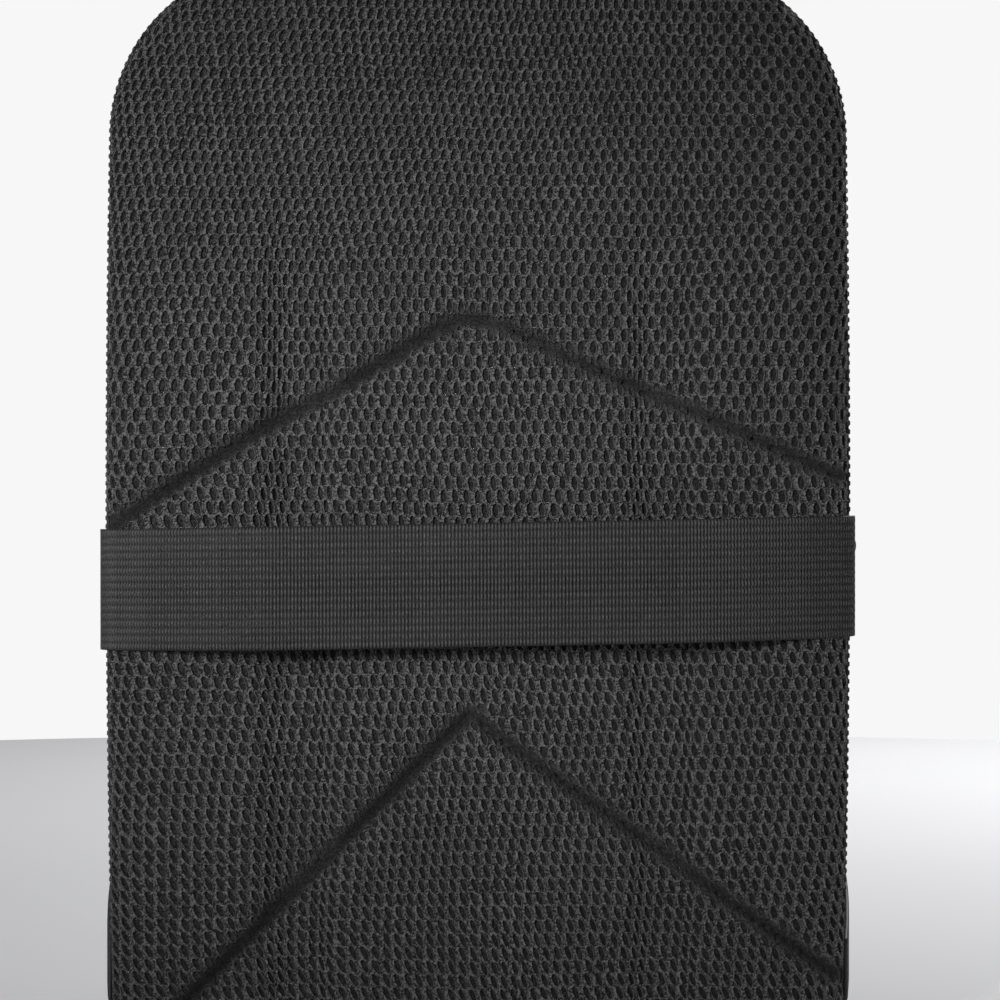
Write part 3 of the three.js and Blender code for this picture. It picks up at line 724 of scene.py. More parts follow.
# The knit follows the surface: its cloth map is the length along the pad, with the knit's lean and stretch.
knit = {
    "step": 0.001,  # of the grid that the lengths are worked out on
    "gridX": (-0.162, 0.1625),
    "gridZ": (-0.004, 0.4665),
    "lean": 0.03,
    "leanMore": 0.42,  # more lean towards the base
    "leanBelow": 0.30,
    "leanBack": 0.42,  # and the other way towards the top left
    "leanAbove": 0.32,
    "leanSoft": 0.05,
    "leanFade": (-0.06, 0.11),
    "leanLeft": 0.1,  # how much more it leans at the left, as a share for each stretch of this width
    "leanOver": 0.06,
    "wide": 2.6,  # how much wider the holes get towards the sides
    "topWide": (0.95, 0.45),  # how the holes narrow at the top left and widen at the top right
    "topFrom": (0.26, 0.37),
    "topShort": 0.16,
    "follow": 0.75,  # share of a slope's extra length that the knit takes up
    "wander": (0.0008, 0.0010),
}


def edgeSlack(x, z):
    # way out over the rounded edge, and the extra length of cloth on it
    inward, roll, step = np.linspace(0, 1, 400), backPad["roll"], knit["step"]
    rise = np.gradient(np.sqrt(1 - (1 - inward) ** 2), inward) * (backPad["foam"] - backPad["edge"]) / roll
    length = np.cumsum(np.sqrt(1 + rise * rise) - 1) * roll / len(inward)
    side = padDistance(x - step, z) - padDistance(x + step, z)
    up = padDistance(x, z - step) - padDistance(x, z + step)
    size = np.maximum(np.hypot(side, up), 1e-6)
    reach = length[-1] - np.interp(padDistance(x, z) / roll, inward, length)
    return side / size, up / size, knit["follow"] * reach


def clothMap(x, z):
    step = knit["step"]
    xs, zs = np.arange(*knit["gridX"], step), np.arange(*knit["gridZ"], step)

    def slack(depth):
        # extra length of cloth on a slope, along the first axis
        rise = np.gradient(depth, step, axis=0)
        return knit["follow"] * np.cumsum((np.sqrt(1 + rise * rise) - 1) * step, axis=0)

    gridX, gridZ = np.meshgrid(xs, zs)
    along = gridZ + slack(backPad["grooveDepth"] * grooves(gridX, gridZ)[0])
    column = np.clip((x - xs[0]) / step, 0, len(xs) - 1.001)
    row = np.clip((z - zs[0]) / step, 0, len(zs) - 1.001)
    c, r = column.astype(int), row.astype(int)
    low = lerp(along[r, c], along[r, c + 1], column - c)
    v = lerp(low, lerp(along[r + 1, c], along[r + 1, c + 1], column - c), row - r)
    extra = slack(hollowDepth(xs))
    u = x + (np.interp(x, xs, extra) - np.interp(0, xs, extra)) * hollowEnd(z)
    side, up, reach = edgeSlack(x, z)
    u, v = u + side * reach, v + up * reach
    lean = knit["leanMore"] * np.maximum(knit["leanBelow"] - z, 0) ** 2 / (2 * knit["leanBelow"])
    rise = np.hypot(np.maximum(z - knit["leanAbove"], 0), knit["leanSoft"]) - knit["leanSoft"]
    u = u + knit["lean"] * z - lean * (1 - knit["leanLeft"] * x / knit["leanOver"]) - knit["wide"] * x**3
    u = u - knit["leanBack"] * rise * (1 - smoothstep(x, *knit["leanFade"]))
    u = u - np.where(x < 0, *knit["topWide"]) * x * x * smoothstep(z, *knit["topFrom"])
    v = v + knit["topShort"] * rise
    u = u + knit["wander"][0] * ripple(x, z, 0.03, 4.0)
    v = v + knit["wander"][1] * ripple(x, z, 0.04, 7.0)
    return np.stack([u, v], -1)


def makeBackPad():
    rings, middle, innerY = backPad["rings"], np.array([0, bag["height"] / 2]), backPad["innerY"]
    size = 2 * rings + 1
    inward = backPad["inset"] * np.array([1, 1, 0, 0])
    sides = [stretch - stretch[:, [2, 3, 2, 3]] * inward for stretch in outlineSides(size)]
    spots = ringGrid(sides, middle, rings, backPad["crowd"])
    x, z = spots[..., 0], spots[..., 1]
    thickness, pressed = padShape(x, z)
    face = np.stack([x, innerY - thickness, z], -1).reshape(-1, 3)
    border = borderLoop(size)
    back = face[border] * [1, 0, 1] + [0, innerY, 0]
    behind = len(face) + np.arange(len(border))
    wall = np.stack([border, behind, np.roll(behind, -1), np.roll(border, -1)], -1)
    flat = clothMap(x, z).reshape(-1, 2)
    spread = unit(spots.reshape(-1, 2)[border] - middle) * backPad["edge"]
    flat = np.concatenate([flat, flat[border] + spread])
    faces = [*gridFaces(size, size), *wall, behind[::-1]]
    pad = makePiece("back_pad", np.concatenate([face, back]), faces, padFloor, flat)
    layer = pad.data.uv_layers["cloth"].data
    for corner in pad.data.polygons[-1].loop_indices:
        layer[corner].uv = (-1.0, -1.0)  # the hidden back is off the cloth map, so no pattern is laid on it
    pointValues(pad, "pressed", np.concatenate([pressed.ravel(), np.zeros(len(border))]))
    return pad


# One hole of the mesh: a raised ring of yarn round an oval hole, in a six-sided cell that meets the next.
netCell = {
    "pitch": (0.0047, 0.0055),  # across and along
    "tall": 0.592,  # the cell's half height as a share of the pitch along
    "ring": (0.00143, 0.00294),  # half width and half height of the yarn's ridge
    "hole": (0.00106, 0.00252),
    "deep": 0.0012,
    "between": 0.62,  # height of the cell's edge as a share of the ridge's
    "foot": 0.04,  # and of the hole's edge
    "backFirst": (-54, -4),  # the back pad's first cell, and how many there are across and along
    "backCount": (98, 106),
}


def makeNetTile():
    across, along = netCell["pitch"]
    half, deep = across / 2, netCell["deep"]
    tall, short = netCell["tall"] * along, (1 - netCell["tall"]) * along
    rim = [(0, tall), (-half, short), (-half, -short), (0, -tall), (half, -short), (half, short)]
    angles = [math.radians(90 + 45 * k) for k in range(8)]
    points = [(x, y, netCell["between"] * deep) for x, y in rim]
    for (a, b), height in ((netCell["ring"], deep), (netCell["hole"], netCell["foot"] * deep)):
        points += [(a * math.cos(t), b * math.sin(t), height) for t in angles]

    def ridge(k):
        return 6 + k % 8

    faces = [(ridge(k), ridge(k) + 8, ridge(k + 1) + 8, ridge(k + 1)) for k in range(8)]
    corners = [0, 1, 3, 4, 5, 7, 8]  # which of the ring's eight points stands by each corner of the cell
    for k in range(6):
        ring = [ridge(m) for m in range(corners[k + 1], corners[k] - 1, -1)]
        faces.append([k, (k + 1) % 6] + ring)
    return makePiece("netTile", points, faces, closed=False)


def layNet(name, surface, first, count, lift):
    return layTiles(name, surface, makeNetTile(), airMesh, first, netCell["pitch"], count, 0.5, lift)


airMesh = airMeshFinish()
meshFloor = meshFloorFinish("meshFloor", False)
padFloor = meshFloorFinish("padFloor", True)
pad = makeBackPad()
cover = layNet("mesh_cover", pad, netCell["backFirst"], netCell["backCount"], 0.00015)
finished(pad, "mesh", "back_panel")
finished(cover, "mesh")
print("back pad:", len(cover.data.polygons), "faces of mesh")


# Luggage strap: wide ribbed webbing, stretched across the back from seam to seam.
luggageStrap = {
    "width": 0.050,
    "thickness": 0.0016,
    "middleZ": 0.2012,
    "tilt": 0.018,
    "sway": 0.0004,  # waviness of its edges
    # from the side seam to the middle: x, and distance out from the back seam
    "bends": [
        (0.1575, -0.001), (0.157, 0.006), (0.152, 0.014), (0.136, 0.023),
        (0.108, 0.034), (0.0855, 0.0402), (0.045, 0.0406),
    ],
    "middleOut": 0.041,
    "soften": 7,
    "steps": (281, 25),  # along and across
    "ribReach": (0.33, 0.050),
    "ribShift": 0.0005,
}


def strapLine(count, soften):
    right = np.array(luggageStrap["bends"])
    rows = np.concatenate([right * [-1, 1], [[0, luggageStrap["middleOut"]]], right[::-1]])
    even = evenly(rows, count)
    kernel = np.ones(soften) / soften
    padded = np.pad(even, ((soften // 2, soften // 2), (0, 0)), mode="edge")
    smooth = np.stack([np.convolve(padded[:, k], kernel, "valid") for k in range(2)], -1)
    smooth[[0, -1]] = even[[0, -1]]
    return smooth


def makeLuggageStrap():
    columns, rows = luggageStrap["steps"]
    line = strapLine(columns, luggageStrap["soften"])
    x, out = line.T
    length = reachAlong(line)
    length = length - length[-1] / 2 - luggageStrap["ribShift"]
    across = np.linspace(-0.5, 0.5, rows)[:, None] * luggageStrap["width"]
    z = luggageStrap["middleZ"] + luggageStrap["tilt"] * x + across
    wave = ripple(x + 0 * across, across * 1.5, 0.02, 3.0) * smoothstep(np.abs(across), 0.004, 0.024)
    face = np.stack([x + 0 * z, bag["backY"] - out - luggageStrap["sway"] * wave, z], -1)
    flat = np.stack([length + 0 * z, across + 0 * z], -1)
    return makePiece("luggage_band", face, gridFaces(rows, columns), webbingCloth, flat, closed=False)


# One knot of a rib, a cell of webbing whose edges meet its neighbours': heights at shares of its size.
closeRib = {
    "pitch": (0.00144, 0.0031),
    "height": 0.0007,
    "across": [(-0.5, 0.0), (-0.38, 0.0), (-0.2, 1.0), (0.2, 1.0), (0.38, 0.0), (0.5, 0.0)],
    "along": [(-0.5, 0.3), (-0.18, 1.0), (0.18, 1.0), (0.5, 0.3)],
}
plainRib = {
    "pitch": (0.0015, 0.0030),
    "height": 0.0004,
    "across": [(-0.5, 0.0), (-0.2, 1.0), (0.2, 1.0), (0.5, 0.0)],
    "along": [(-0.5, 0.5), (0.0, 1.0), (0.5, 0.5)],
}


def layRibs(name, guide, finish, rib, reach, lift):
    (across, along), height = rib["pitch"], rib["height"]
    points = [(x * across, y * along, height * a * b) for y, b in rib["along"] for x, a in rib["across"]]
    faces = gridFaces(len(rib["along"]), len(rib["across"]))
    tile = makePiece("ribTile", points, faces, closed=False)
    count = int(reach[0] / across), int(reach[1] / along)
    first = [-(number - 1) / 2 for number in count]
    return layTiles(name, guide, tile, finish, first, rib["pitch"], count, 0.0, lift)


webbingCloth = webbingFinish("ribbedWebbing", closeRib["height"])
guide = makeLuggageStrap()
ribs = layRibs("luggage_strap_ribs", guide, webbingCloth, closeRib, luggageStrap["ribReach"], 0.0)
strap = thickened(guide, luggageStrap["thickness"])
finished(strap, "strapping", "luggage_strap")
finished(ribs, "strapping")
print("luggage strap:", len(ribs.data.polygons), "faces of ribs")

# Shell: gussets, zip and front panel of plain-woven cloth.
shell = {
    "thickness": 0.0016,
    "threads": 1500.0,  # to the metre
    "lowEnd": 0.170,  # where the zip ends at each side
    "zipFrom": 0.057,
    "zipTo": 0.067,
    "zipGap": 0.0002,
    "zipSink": -0.0006,
    "slack": 0.0011,  # height of the gussets' folds
    "stretch": -0.055,  # how much longer the front's cloth is cut than its place
    "foldIn": -0.006,  # how far its folds may go in, out and sideways
    "foldOut": 0.0015,
    "foldSlide": 0.002,
    "calm": 0.35,  # share of the folds that is left behind the pocket, and how far from it they are full
    "calmOver": 0.03,
    "rings": 26,
    "crowd": 1.3,
}


def gussetDepth(z):
    return lerp(bag["depthBase"], bag["depthTop"], smoothstep(z / bag["height"], 0.1, 1))


def gussetPoint(outline, depth, lift=0):
    # a point on the gusset at a depth from the back seam; the base stays flat
    x, z, nx, nz = np.moveaxis(outline, -1, 0)
    share = depth / gussetDepth(z)
    bow = bag["gussetSwell"] * 4 * share * (1 - share) - bag["frontTaper"] * share**2
    out = (bow + lift) * (1 + np.minimum(0, nz))
    return np.stack([x + nx * out, bag["backY"] + depth + 0 * x, z + nz * out], -1)


def rimOf(outline):
    return gussetPoint(outline, gussetDepth(outline[:, 1]))[:, [0, 2]]


rimTable = rimOf(rightHalf) - [0, bag["frontMiddleZ"]]
rimAngle = np.arctan2(np.abs(rimTable[:, 0]), -rimTable[:, 1])
rimReach = np.hypot(rimTable[:, 0], rimTable[:, 1])


def frontY(x, z):
    # outer face of the front panel, a crown over its seam
    x, up = np.abs(x), z - bag["frontMiddleZ"]
    share = np.hypot(x, up) / np.interp(np.arctan2(x, -up), rimAngle, rimReach)
    rise = bag["frontRise"] * (1 - np.minimum(share, 1) ** 3) ** 0.44
    return bag["backY"] + gussetDepth(z) + rise


def frontNormal(x, z, step=0.006):
    slopeX = (frontY(x + step, z) - frontY(x - step, z)) / (2 * step)
    slopeZ = (frontY(x, z + step) - frontY(x, z - step)) / (2 * step)
    return unit(np.stack([-slopeX, np.ones_like(slopeX), -slopeZ], -1))


shellCloth = clothFinish("shellCloth", 0.008, 0.040)
bindingCloth = clothFinish("bindingCloth", 0.006, 0.028)
zipCloth = clothFinish("zipTape", 0.004, 0.018)
threadFinish = plainFinish("thread", 0.10, 0.55, 2500.0, 0.0001)
coilFinish = plainFinish("coil", 0.018, 0.35, 800.0, 0.00003)
mouldedFinish = plainFinish("moulded", 0.014, 0.42, 1600.0, 0.00008)


def makeWall(name, path, first, last, columns, slack=shell["slack"], lift=0, material=shellCloth):
    # cloth along the outline between two depths, with soft folds that die out at its seams
    share = np.linspace(0, 1, columns)[None]
    depth = lerp(first, last, share)
    length = reachAlong(path[:, :2])[:, None]
    fold = slack * np.sin(np.pi * share) * ripple(length + 0 * depth, depth, 0.03, len(name))
    points = gussetPoint(path[:, None], depth, fold + lift)
    flat = np.stack([depth + 0 * length, length + 0 * depth], -1)
    wall = makePiece(name, points, gridFaces(len(path), columns), material, flat, closed=False)
    faceOut(wall, (0, -0.01, 0.2))
    return thickened(wall, shell["thickness"])


def sewnSheet(piece, node, flat, restsOn, **more):
    finished(piece, "cloth", node)


parting = int(np.argmax(rightHalf[:, 1] >= shell["lowEnd"]))
rising, sinking = rightHalf[parting:], rightHalf[: parting + 1]
archPath = evenly(np.concatenate([rising, mirrored(rising)[1:]]), 241)
lowPath = evenly(np.concatenate([mirrored(sinking), sinking[1:]]), 201)
lowDepth, archDepth = gussetDepth(lowPath[:, 1:2]), gussetDepth(archPath[:, 1:2])
lowLength, archLength = reachAlong(lowPath[:, :2])[-1], reachAlong(archPath[:, :2])[-1]
zipFrom, zipTo, zipGap = shell["zipFrom"], shell["zipTo"], shell["zipGap"]
lowerGusset = makeWall("lower_gusset_cloth", lowPath, 0, lowDepth, 41)
rearGusset = makeWall("rear_gusset_cloth", archPath, 0, zipFrom, 17)
frontGusset = makeWall("front_gusset_cloth", archPath, zipTo, archDepth, 21)
tapeEdges = zipFrom + zipGap, zipTo - zipGap
mainTape = makeWall("main_zip_tape", archPath, *tapeEdges, 5, 0, shell["zipSink"], zipCloth)
finished(mainTape, "zip_tape", "main_zip")
sewnSheet(lowerGusset, "lower_gusset", (bag["depthBase"], lowLength), "back_pad")
sewnSheet(rearGusset, "rear_gusset", (zipFrom, archLength), "back_pad")
sewnSheet(frontGusset, "front_gusset", (0.095, archLength), "main_zip_tape", area=0.055)
print("gussets made")

# Front pocket, sewn on the front panel, with a zip across it.
pocket = {
    "halfWidth": 0.088,
    "low": 0.040,
    "high": 0.178,
    "corner": 0.024,
    "rise": 0.022,
    "roll": 0.030,
    "square": 2.6,  # how full its rounded edge is
    "footFull": 1.12,
    "headFull": 0.8,
    "rings": 24,
    "crowd": 2.2,
    "zipZ": 0.152,
    "zipHalf": 0.066,
    "zipWidth": 0.010,
    "zipHeld": (0.006, 0.010),  # cloth past the zip's ends and beside it that the zip holds still
    "zipLift": 0.0016,
    "tapeThickness": 0.0012,
}
pocketMiddle = np.array([0, (pocket["low"] + pocket["high"]) / 2])
pocketHalf = (pocket["high"] - pocket["low"]) / 2


def slackened(piece, pinned, free):
    # cloth simulation: the piece is cut a little long, so that it buckles between its seams
    mesh = piece.data
    rest = np.array([v.co for v in mesh.vertices])
    normals = np.array([v.normal for v in mesh.vertices])
    piece.vertex_groups.new(name="pinned").add([int(k) for k in pinned], 1.0, "REPLACE")
    cloth = piece.modifiers.new("cloth", "CLOTH")
    cloth.settings.vertex_group_mass = "pinned"
    cloth.settings.quality = 6
    cloth.settings.shrink_min = shell["stretch"]
    cloth.settings.bending_stiffness = 0.6
    cloth.settings.effector_weights.gravity = 0
    cloth.settings.use_pressure = True
    cloth.settings.uniform_pressure_force = 0.4
    cloth.collision_settings.use_collision = False
    cloth.point_cache.frame_end = 20
    for step in range(1, 21):
        scene.frame_set(step)
    made = plainMesh(piece)
    move = np.array([v.co for v in made.vertices]) - rest
    piece.modifiers.remove(cloth)
    piece.vertex_groups.clear()
    bpy.data.meshes.remove(made)
    scene.frame_set(1)
    out = np.sum(move * normals, -1, keepdims=True)
    slide = move - out * normals
    far = np.maximum(np.linalg.norm(slide, axis=-1, keepdims=True), 1e-9)
    slide = slide * np.minimum(1, shell["foldSlide"] / far)
    out = np.clip(out, shell["foldIn"], shell["foldOut"])
    moved = rest + free.reshape(-1, 1) * (slide + out * normals)
    mesh.vertices.foreach_set("co", moved.ravel())
    mesh.update()
    print(piece.name, "moved by the simulation:", round(float(np.abs(move).max()), 4))


def finer(piece):
    fine = piece.modifiers.new("finer", "SUBSURF")
    fine.levels = 1
    fine.render_levels = 1


def makeFront(name, sides, middle, cut, height, holds):
    # a crowned cloth over a rim, slackened where nothing holds it
    size = 2 * cut["rings"] + 1
    spots = ringGrid(sides(size), middle, cut["rings"], cut["crowd"])
    x, z = spots[..., 0], spots[..., 1]
    points = np.stack([x, height(x, z), z], -1)
    sheet = makePiece(name, points, gridFaces(size, size), shellCloth, spots, closed=False)
    faceOut(sheet, (0, -0.05, 0.2))
    held, free = holds(x, z, size)
    slackened(sheet, np.concatenate([borderLoop(size), held]), free)
    finer(sheet)
    return thickened(sheet, shell["thickness"])


def panelSides(count):
    return [rimOf(stretch) for stretch in outlineSides(count)]


def panelHolds(x, z, size):
    # held at its seams only, and calmer behind the pocket
    beside = np.maximum(np.abs(x) - pocket["halfWidth"], np.abs(z - pocketMiddle[1]) - pocketHalf)
    calm = lerp(shell["calm"], 1, smoothstep(beside, 0, shell["calmOver"]))
    return np.zeros(0, int), seamShare(size, 4) * calm


def pocketY(x, z):
    inside = insideBy(x, z - pocketMiddle[1], pocket["halfWidth"], pocketHalf, pocket["corner"])
    edge = np.clip(inside / pocket["roll"], 0, 1)
    full = lerp(pocket["footFull"], pocket["headFull"], (z - pocket["low"]) / (2 * pocketHalf))
    square = pocket["square"]
    return frontY(x, z) + pocket["rise"] * full * (1 - (1 - edge) ** square) ** (1 / square)


def pocketSides(count):
    low, high, half, radius = pocket["low"], pocket["high"], pocket["halfWidth"], pocket["corner"]
    corners = [(half - radius, low + radius, -0.5), (half - radius, high - radius, 0.0)]
    loop = [(0, low)]
    for cx, cz, start in corners:
        angle = np.pi * np.linspace(start, start + 0.5, 13)
        loop += list(zip(cx + radius * np.cos(angle), cz + radius * np.sin(angle)))
    right = np.array(loop + [(0, high)])
    first, last = 7, 20  # the middle of each corner's arc
    left = right * [-1, 1]
    base = np.concatenate([left[first:0:-1], right[: first + 1]])
    top = np.concatenate([right[last:], left[-2 : last - 1 : -1]])
    stretches = [base, right[first : last + 1], top, left[last : first - 1 : -1]]
    return [evenly(stretch, count) for stretch in stretches]


def pocketHolds(x, z, size):
    # held at its seam and along the zip
    past, beside = pocket["zipHeld"]
    byZip = (np.abs(z - pocket["zipZ"]) < beside) & (np.abs(x) < pocket["zipHalf"] + past)
    return np.flatnonzero(byZip.ravel()), seamShare(size, 6)


frontMiddle = np.array([0, bag["frontMiddleZ"]])
frontPanel = makeFront("front_panel_cloth", panelSides, frontMiddle, shell, frontY, panelHolds)
sewnSheet(frontPanel, "front_panel", (0.33, 0.48), "front_gusset_cloth")
print("front panel made")
frontPocket = makeFront("front_pocket_cloth", pocketSides, pocketMiddle, pocket, pocketY, pocketHolds)
sewnSheet(frontPocket, "front_pocket", (0.215, 0.175), "front_panel_cloth", area=0.035)
print("front pocket made")

# Shoulder straps: foam between cloth and mesh, bound at the edges, thrown over the top, mesh side out.
shoulder = {
    "width": 0.058,
    "endWidth": 0.040,
    "seamThickness": 0.005,
    "thickness": 0.013,
    "endThickness": 0.009,
    "endRound": 0.007,  # length of the rounding at each end, and how thick the end itself is
    "endFull": 0.55,
    "topX": 0.067,
    "endX": 0.086,
    "clear": 0.0022,
    "browOut": 0.005,
    "depths": [0.0005, 0.014, 0.034, 0.058, 0.082, 0.100],  # from the back seam, over the top
    "heights": [0.418, 0.385, 0.350, 0.315, 0.280, 0.255, 0.238],  # down the front
    "square": 2.8,  # how full the section is
    "steps": 161,
    "sides": 44,
    "columns": 15,  # across the mesh face, and across each side of a binding
    "binding": 0.0055,
    "bindingHalf": 0.027,  # half width of the strap that the binding is measured on
    "bindingRise": 0.0011,
    "bindingSink": 0.0004,
    "overlap": 0.0008,  # how far the mesh runs in under the binding
    "stitchLift": 0.0010,
}


def strapThickness(share):
    full = lerp(shoulder["seamThickness"], shoulder["thickness"], smoothstep(share, 0, 0.12))
    return lerp(full, shoulder["endThickness"], smoothstep(share, 0.5, 1))


def shoulderLine(side):
    depths, heights, brow = shoulder["depths"], shoulder["heights"], shoulder["browOut"]
    share = np.arange(len(depths) + 1 + len(heights)) / (len(depths) + len(heights))
    x = lerp(shoulder["topX"], shoulder["endX"], share**2)
    half = strapThickness(share) / 2
    points = []
    for k, depth in enumerate(depths):
        surface = gussetPoint(np.array([x[k], bag["height"], 0, 1]), depth)
        points.append(surface + [0, 0, half[k] + shoulder["clear"] * min(k, 2) / 2])
    k = len(depths)
    points.append([x[k], bag["backY"] + bag["depthTop"] + half[k] + brow, bag["height"] - brow])
    for k, z in enumerate(heights, len(depths) + 1):
        surface = np.array([x[k], frontY(x[k], z), z])
        points.append(surface + frontNormal(x[k], z) * (half[k] + shoulder["clear"]))
    return smoothLine(np.array(points) * [side, 1, 1], shoulder["steps"])[0]


def sectionPoints(angle, half, rise):
    # a point of the strap's rounded section, as distances across and out
    power = 2 / shoulder["square"]
    return half * signedPower(np.cos(angle), power), rise * signedPower(np.sin(angle), power)


def makeShoulderStrap(word, side):
    line = shoulderLine(side)
    along = unit(np.gradient(line, axis=0))
    across = unit(np.array([1.0, 0, 0]) - along * along[:, :1])
    out = np.cross(across, along)
    length, share = reachAlong(line), np.linspace(0, 1, len(line))
    half = lerp(shoulder["width"], shoulder["endWidth"], smoothstep(share, 0.5, 1))[:, None] / 2
    ends = np.clip(np.minimum(length, length[-1] - length) / shoulder["endRound"], 0, 1)
    rise = strapThickness(share) * lerp(shoulder["endFull"], 1, np.sqrt(1 - (1 - ends) ** 2))
    rise = rise[:, None] / 2
    square, binding = shoulder["square"], shoulder["binding"]
    spread = np.linspace(-1, 1, shoulder["columns"])[None]

    def placed(a, o):
        return line[:, None] + across[:, None] * a[..., None] + out[:, None] * o[..., None]

    def faceHeight(a):
        return rise * (1 - np.abs(a / half) ** square) ** (1 / square)

    def flatAt(u):
        return np.stack([u, length[:, None] + 0 * u], -1)

    def makeTube(name, a, o, u):
        return makePiece(name + word, placed(a, o), tubeFaces(*a.shape), bindingCloth, flatAt(u))

    a, o = sectionPoints(np.linspace(0, 2 * np.pi, shoulder["sides"], endpoint=False)[None], half, rise)
    body = makeTube("shoulder_pad_", a, o, a + 0.2 * (o < 0))

    a = (half - binding + shoulder["overlap"]) * spread
    faces = gridFaces(*a.shape)
    points = placed(a, faceHeight(a))
    face = makePiece("shoulder_face_" + word, points, faces, meshFloor, flatAt(a), closed=False)
    faceOut(face, (side * shoulder["topX"], -0.02, 0.2))
    count = 13, int(length[-1] / netCell["pitch"][1])
    net = layNet("shoulder_mesh_" + word, face, (-6, 0.5), count, 0.0003)
    under = thickened(face, 0.0005, 1)

    bands = []
    reach = math.acos((1 - binding / shoulder["bindingHalf"]) ** (square / 2))
    bulge = shoulder["bindingRise"] * np.sqrt(np.clip(1 - spread**6, 0, 1))
    sink = shoulder["bindingSink"]
    for turn in (0, np.pi):
        angle = turn + reach * spread
        outer = sectionPoints(angle, half + bulge, rise + bulge)
        inner = sectionPoints(angle[:, ::-1], half - sink, rise - sink)
        a, o = (np.concatenate(pair, 1) for pair in zip(outer, inner))
        band = makeTube("shoulder_binding_", a, o, np.cumsum(0 * a + 0.0008, 1))
        band.name += "_inner" if (turn > 0) == (side > 0) else "_outer"
        bands.append(band)
    finished(body, "mesh", "shoulder_strap_" + word)
    finished(net, "mesh")
    finished(under, "mesh")
    for band in bands:
        finished(band, "cloth")
    stitched = [sign * (half - 0.7 * binding) for sign in (-1, 1)]
    return line, [(placed(a, faceHeight(a) + shoulder["stitchLift"])[:, 0], out) for a in stitched]


# Adjusters, by the shoulder strap's end, and the webbing that runs through them to the base corners.
adjuster = {
    "bar": 0.005,
    "slot": 0.007,
    "standOff": 0.0143,
    "loopRadius": 0.0034,
    "loopShift": 0.0008,
    "loopSewn": 0.0003,
    "edge": 0.0007,
}
webbing = {
    "width": 0.024,
    "thickness": 0.0012,
    "columns": 9,
    "clear": 0.0034,
    "sewnClear": 0.0008,
    "sewnFrom": (-0.080, -0.040),  # where on the side it comes down to its seam
    "tailLength": 0.046,
    "tailLift": 0.0042,
    "tailBow": 0.003,
    "tailShares": (0.15, 0.35, 0.6, 0.8, 1),
    # on the front: x, z and how upright the section is; on the side: y and z
    "front": [
        (0.104, 0.172, 0.25), (0.120, 0.150, 0.7), (0.132, 0.132, 1), (0.140, 0.121, 1), (0.1445, 0.114, 1),
    ],
    "side": [
        (0.072, 0.105), (0.060, 0.099), (0.020, 0.080), (-0.030, 0.059), (-0.062, 0.046), (-0.080, 0.039),
    ],
}
narrowCloth = webbingFinish("narrowWebbing", plainRib["height"])
plainWebbing = webbingFinish("plainWebbing", 0)


def strapEnd(line):
    # the strap's last point, the direction along it, the way out from the bag and the way across
    along = unit(line[-1] - line[-2])
    level = np.array([1.0, 0, 0]) - along * along[0]
    out = unit(np.cross(level, along))
    return {"end": line[-1], "along": along, "out": out, "across": np.cross(out, along)}


def byAdjuster(at, a, o):
    return at["end"] + at["along"] * (adjuster["standOff"] + a) + at["out"] * o


def halfTurn(at, middle, towards):
    # webbing round a bar, from the bag's side of the adjuster to its outer side
    radius = adjuster["loopRadius"]
    angles = np.linspace(-np.pi / 2, np.pi / 2, 9)
    return [byAdjuster(at, middle + towards * radius * math.cos(t), radius * math.sin(t)) for t in angles]


def makeRibbon(name, places, acrosses, width, steps, node):
    # flat webbing along a line, with ribs on both faces
    line, at = smoothLine(places, steps)
    length, acrosses = reachAlong(line), np.array(acrosses)
    share, known = length / length[-1], at / at[-1]
    span = np.stack([np.interp(share, known, acrosses[:, k]) for k in range(3)], -1)
    along = unit(np.gradient(line, axis=0))
    square = unit(span - along * np.sum(span * along, -1, keepdims=True))
    span = span / np.sum(span * square, -1, keepdims=True)
    a = np.linspace(-0.5, 0.5, webbing["columns"])[None] * width
    points = line[:, None] + span[:, None] * a[..., None]
    flat = np.stack([length[:, None] - length[-1] / 2 + 0 * a, a + 0 * length[:, None]], -1)
    guide = makePiece(name, points, gridFaces(*points.shape[:2]), plainWebbing, flat, closed=False)
    sides = []
    for ending in ("_ribs", "_ribs_back"):
        size, lift = (length[-1], width), webbing["thickness"] / 2
        sides.append(layRibs(name + ending, guide, narrowCloth, plainRib, size, lift))
        guide.data.flip_normals()
    guide.data.flip_normals()
    finished(thickened(guide, webbing["thickness"], 0), "strapping", node)
    for ribs in sides:
        finished(ribs, "strapping")


def makeTongue(word, at):
    radius, start = adjuster["loopRadius"], adjuster["loopSewn"] - adjuster["standOff"]
    turn = halfTurn(at, adjuster["bar"] - adjuster["loopShift"], 1)
    places = [byAdjuster(at, start, -radius), *turn, byAdjuster(at, start, radius)]
    acrosses = [at["across"]] * len(places)
    makeRibbon("strap_loop_" + word, places, acrosses, webbing["width"], 61, "strap_tongue_" + word)


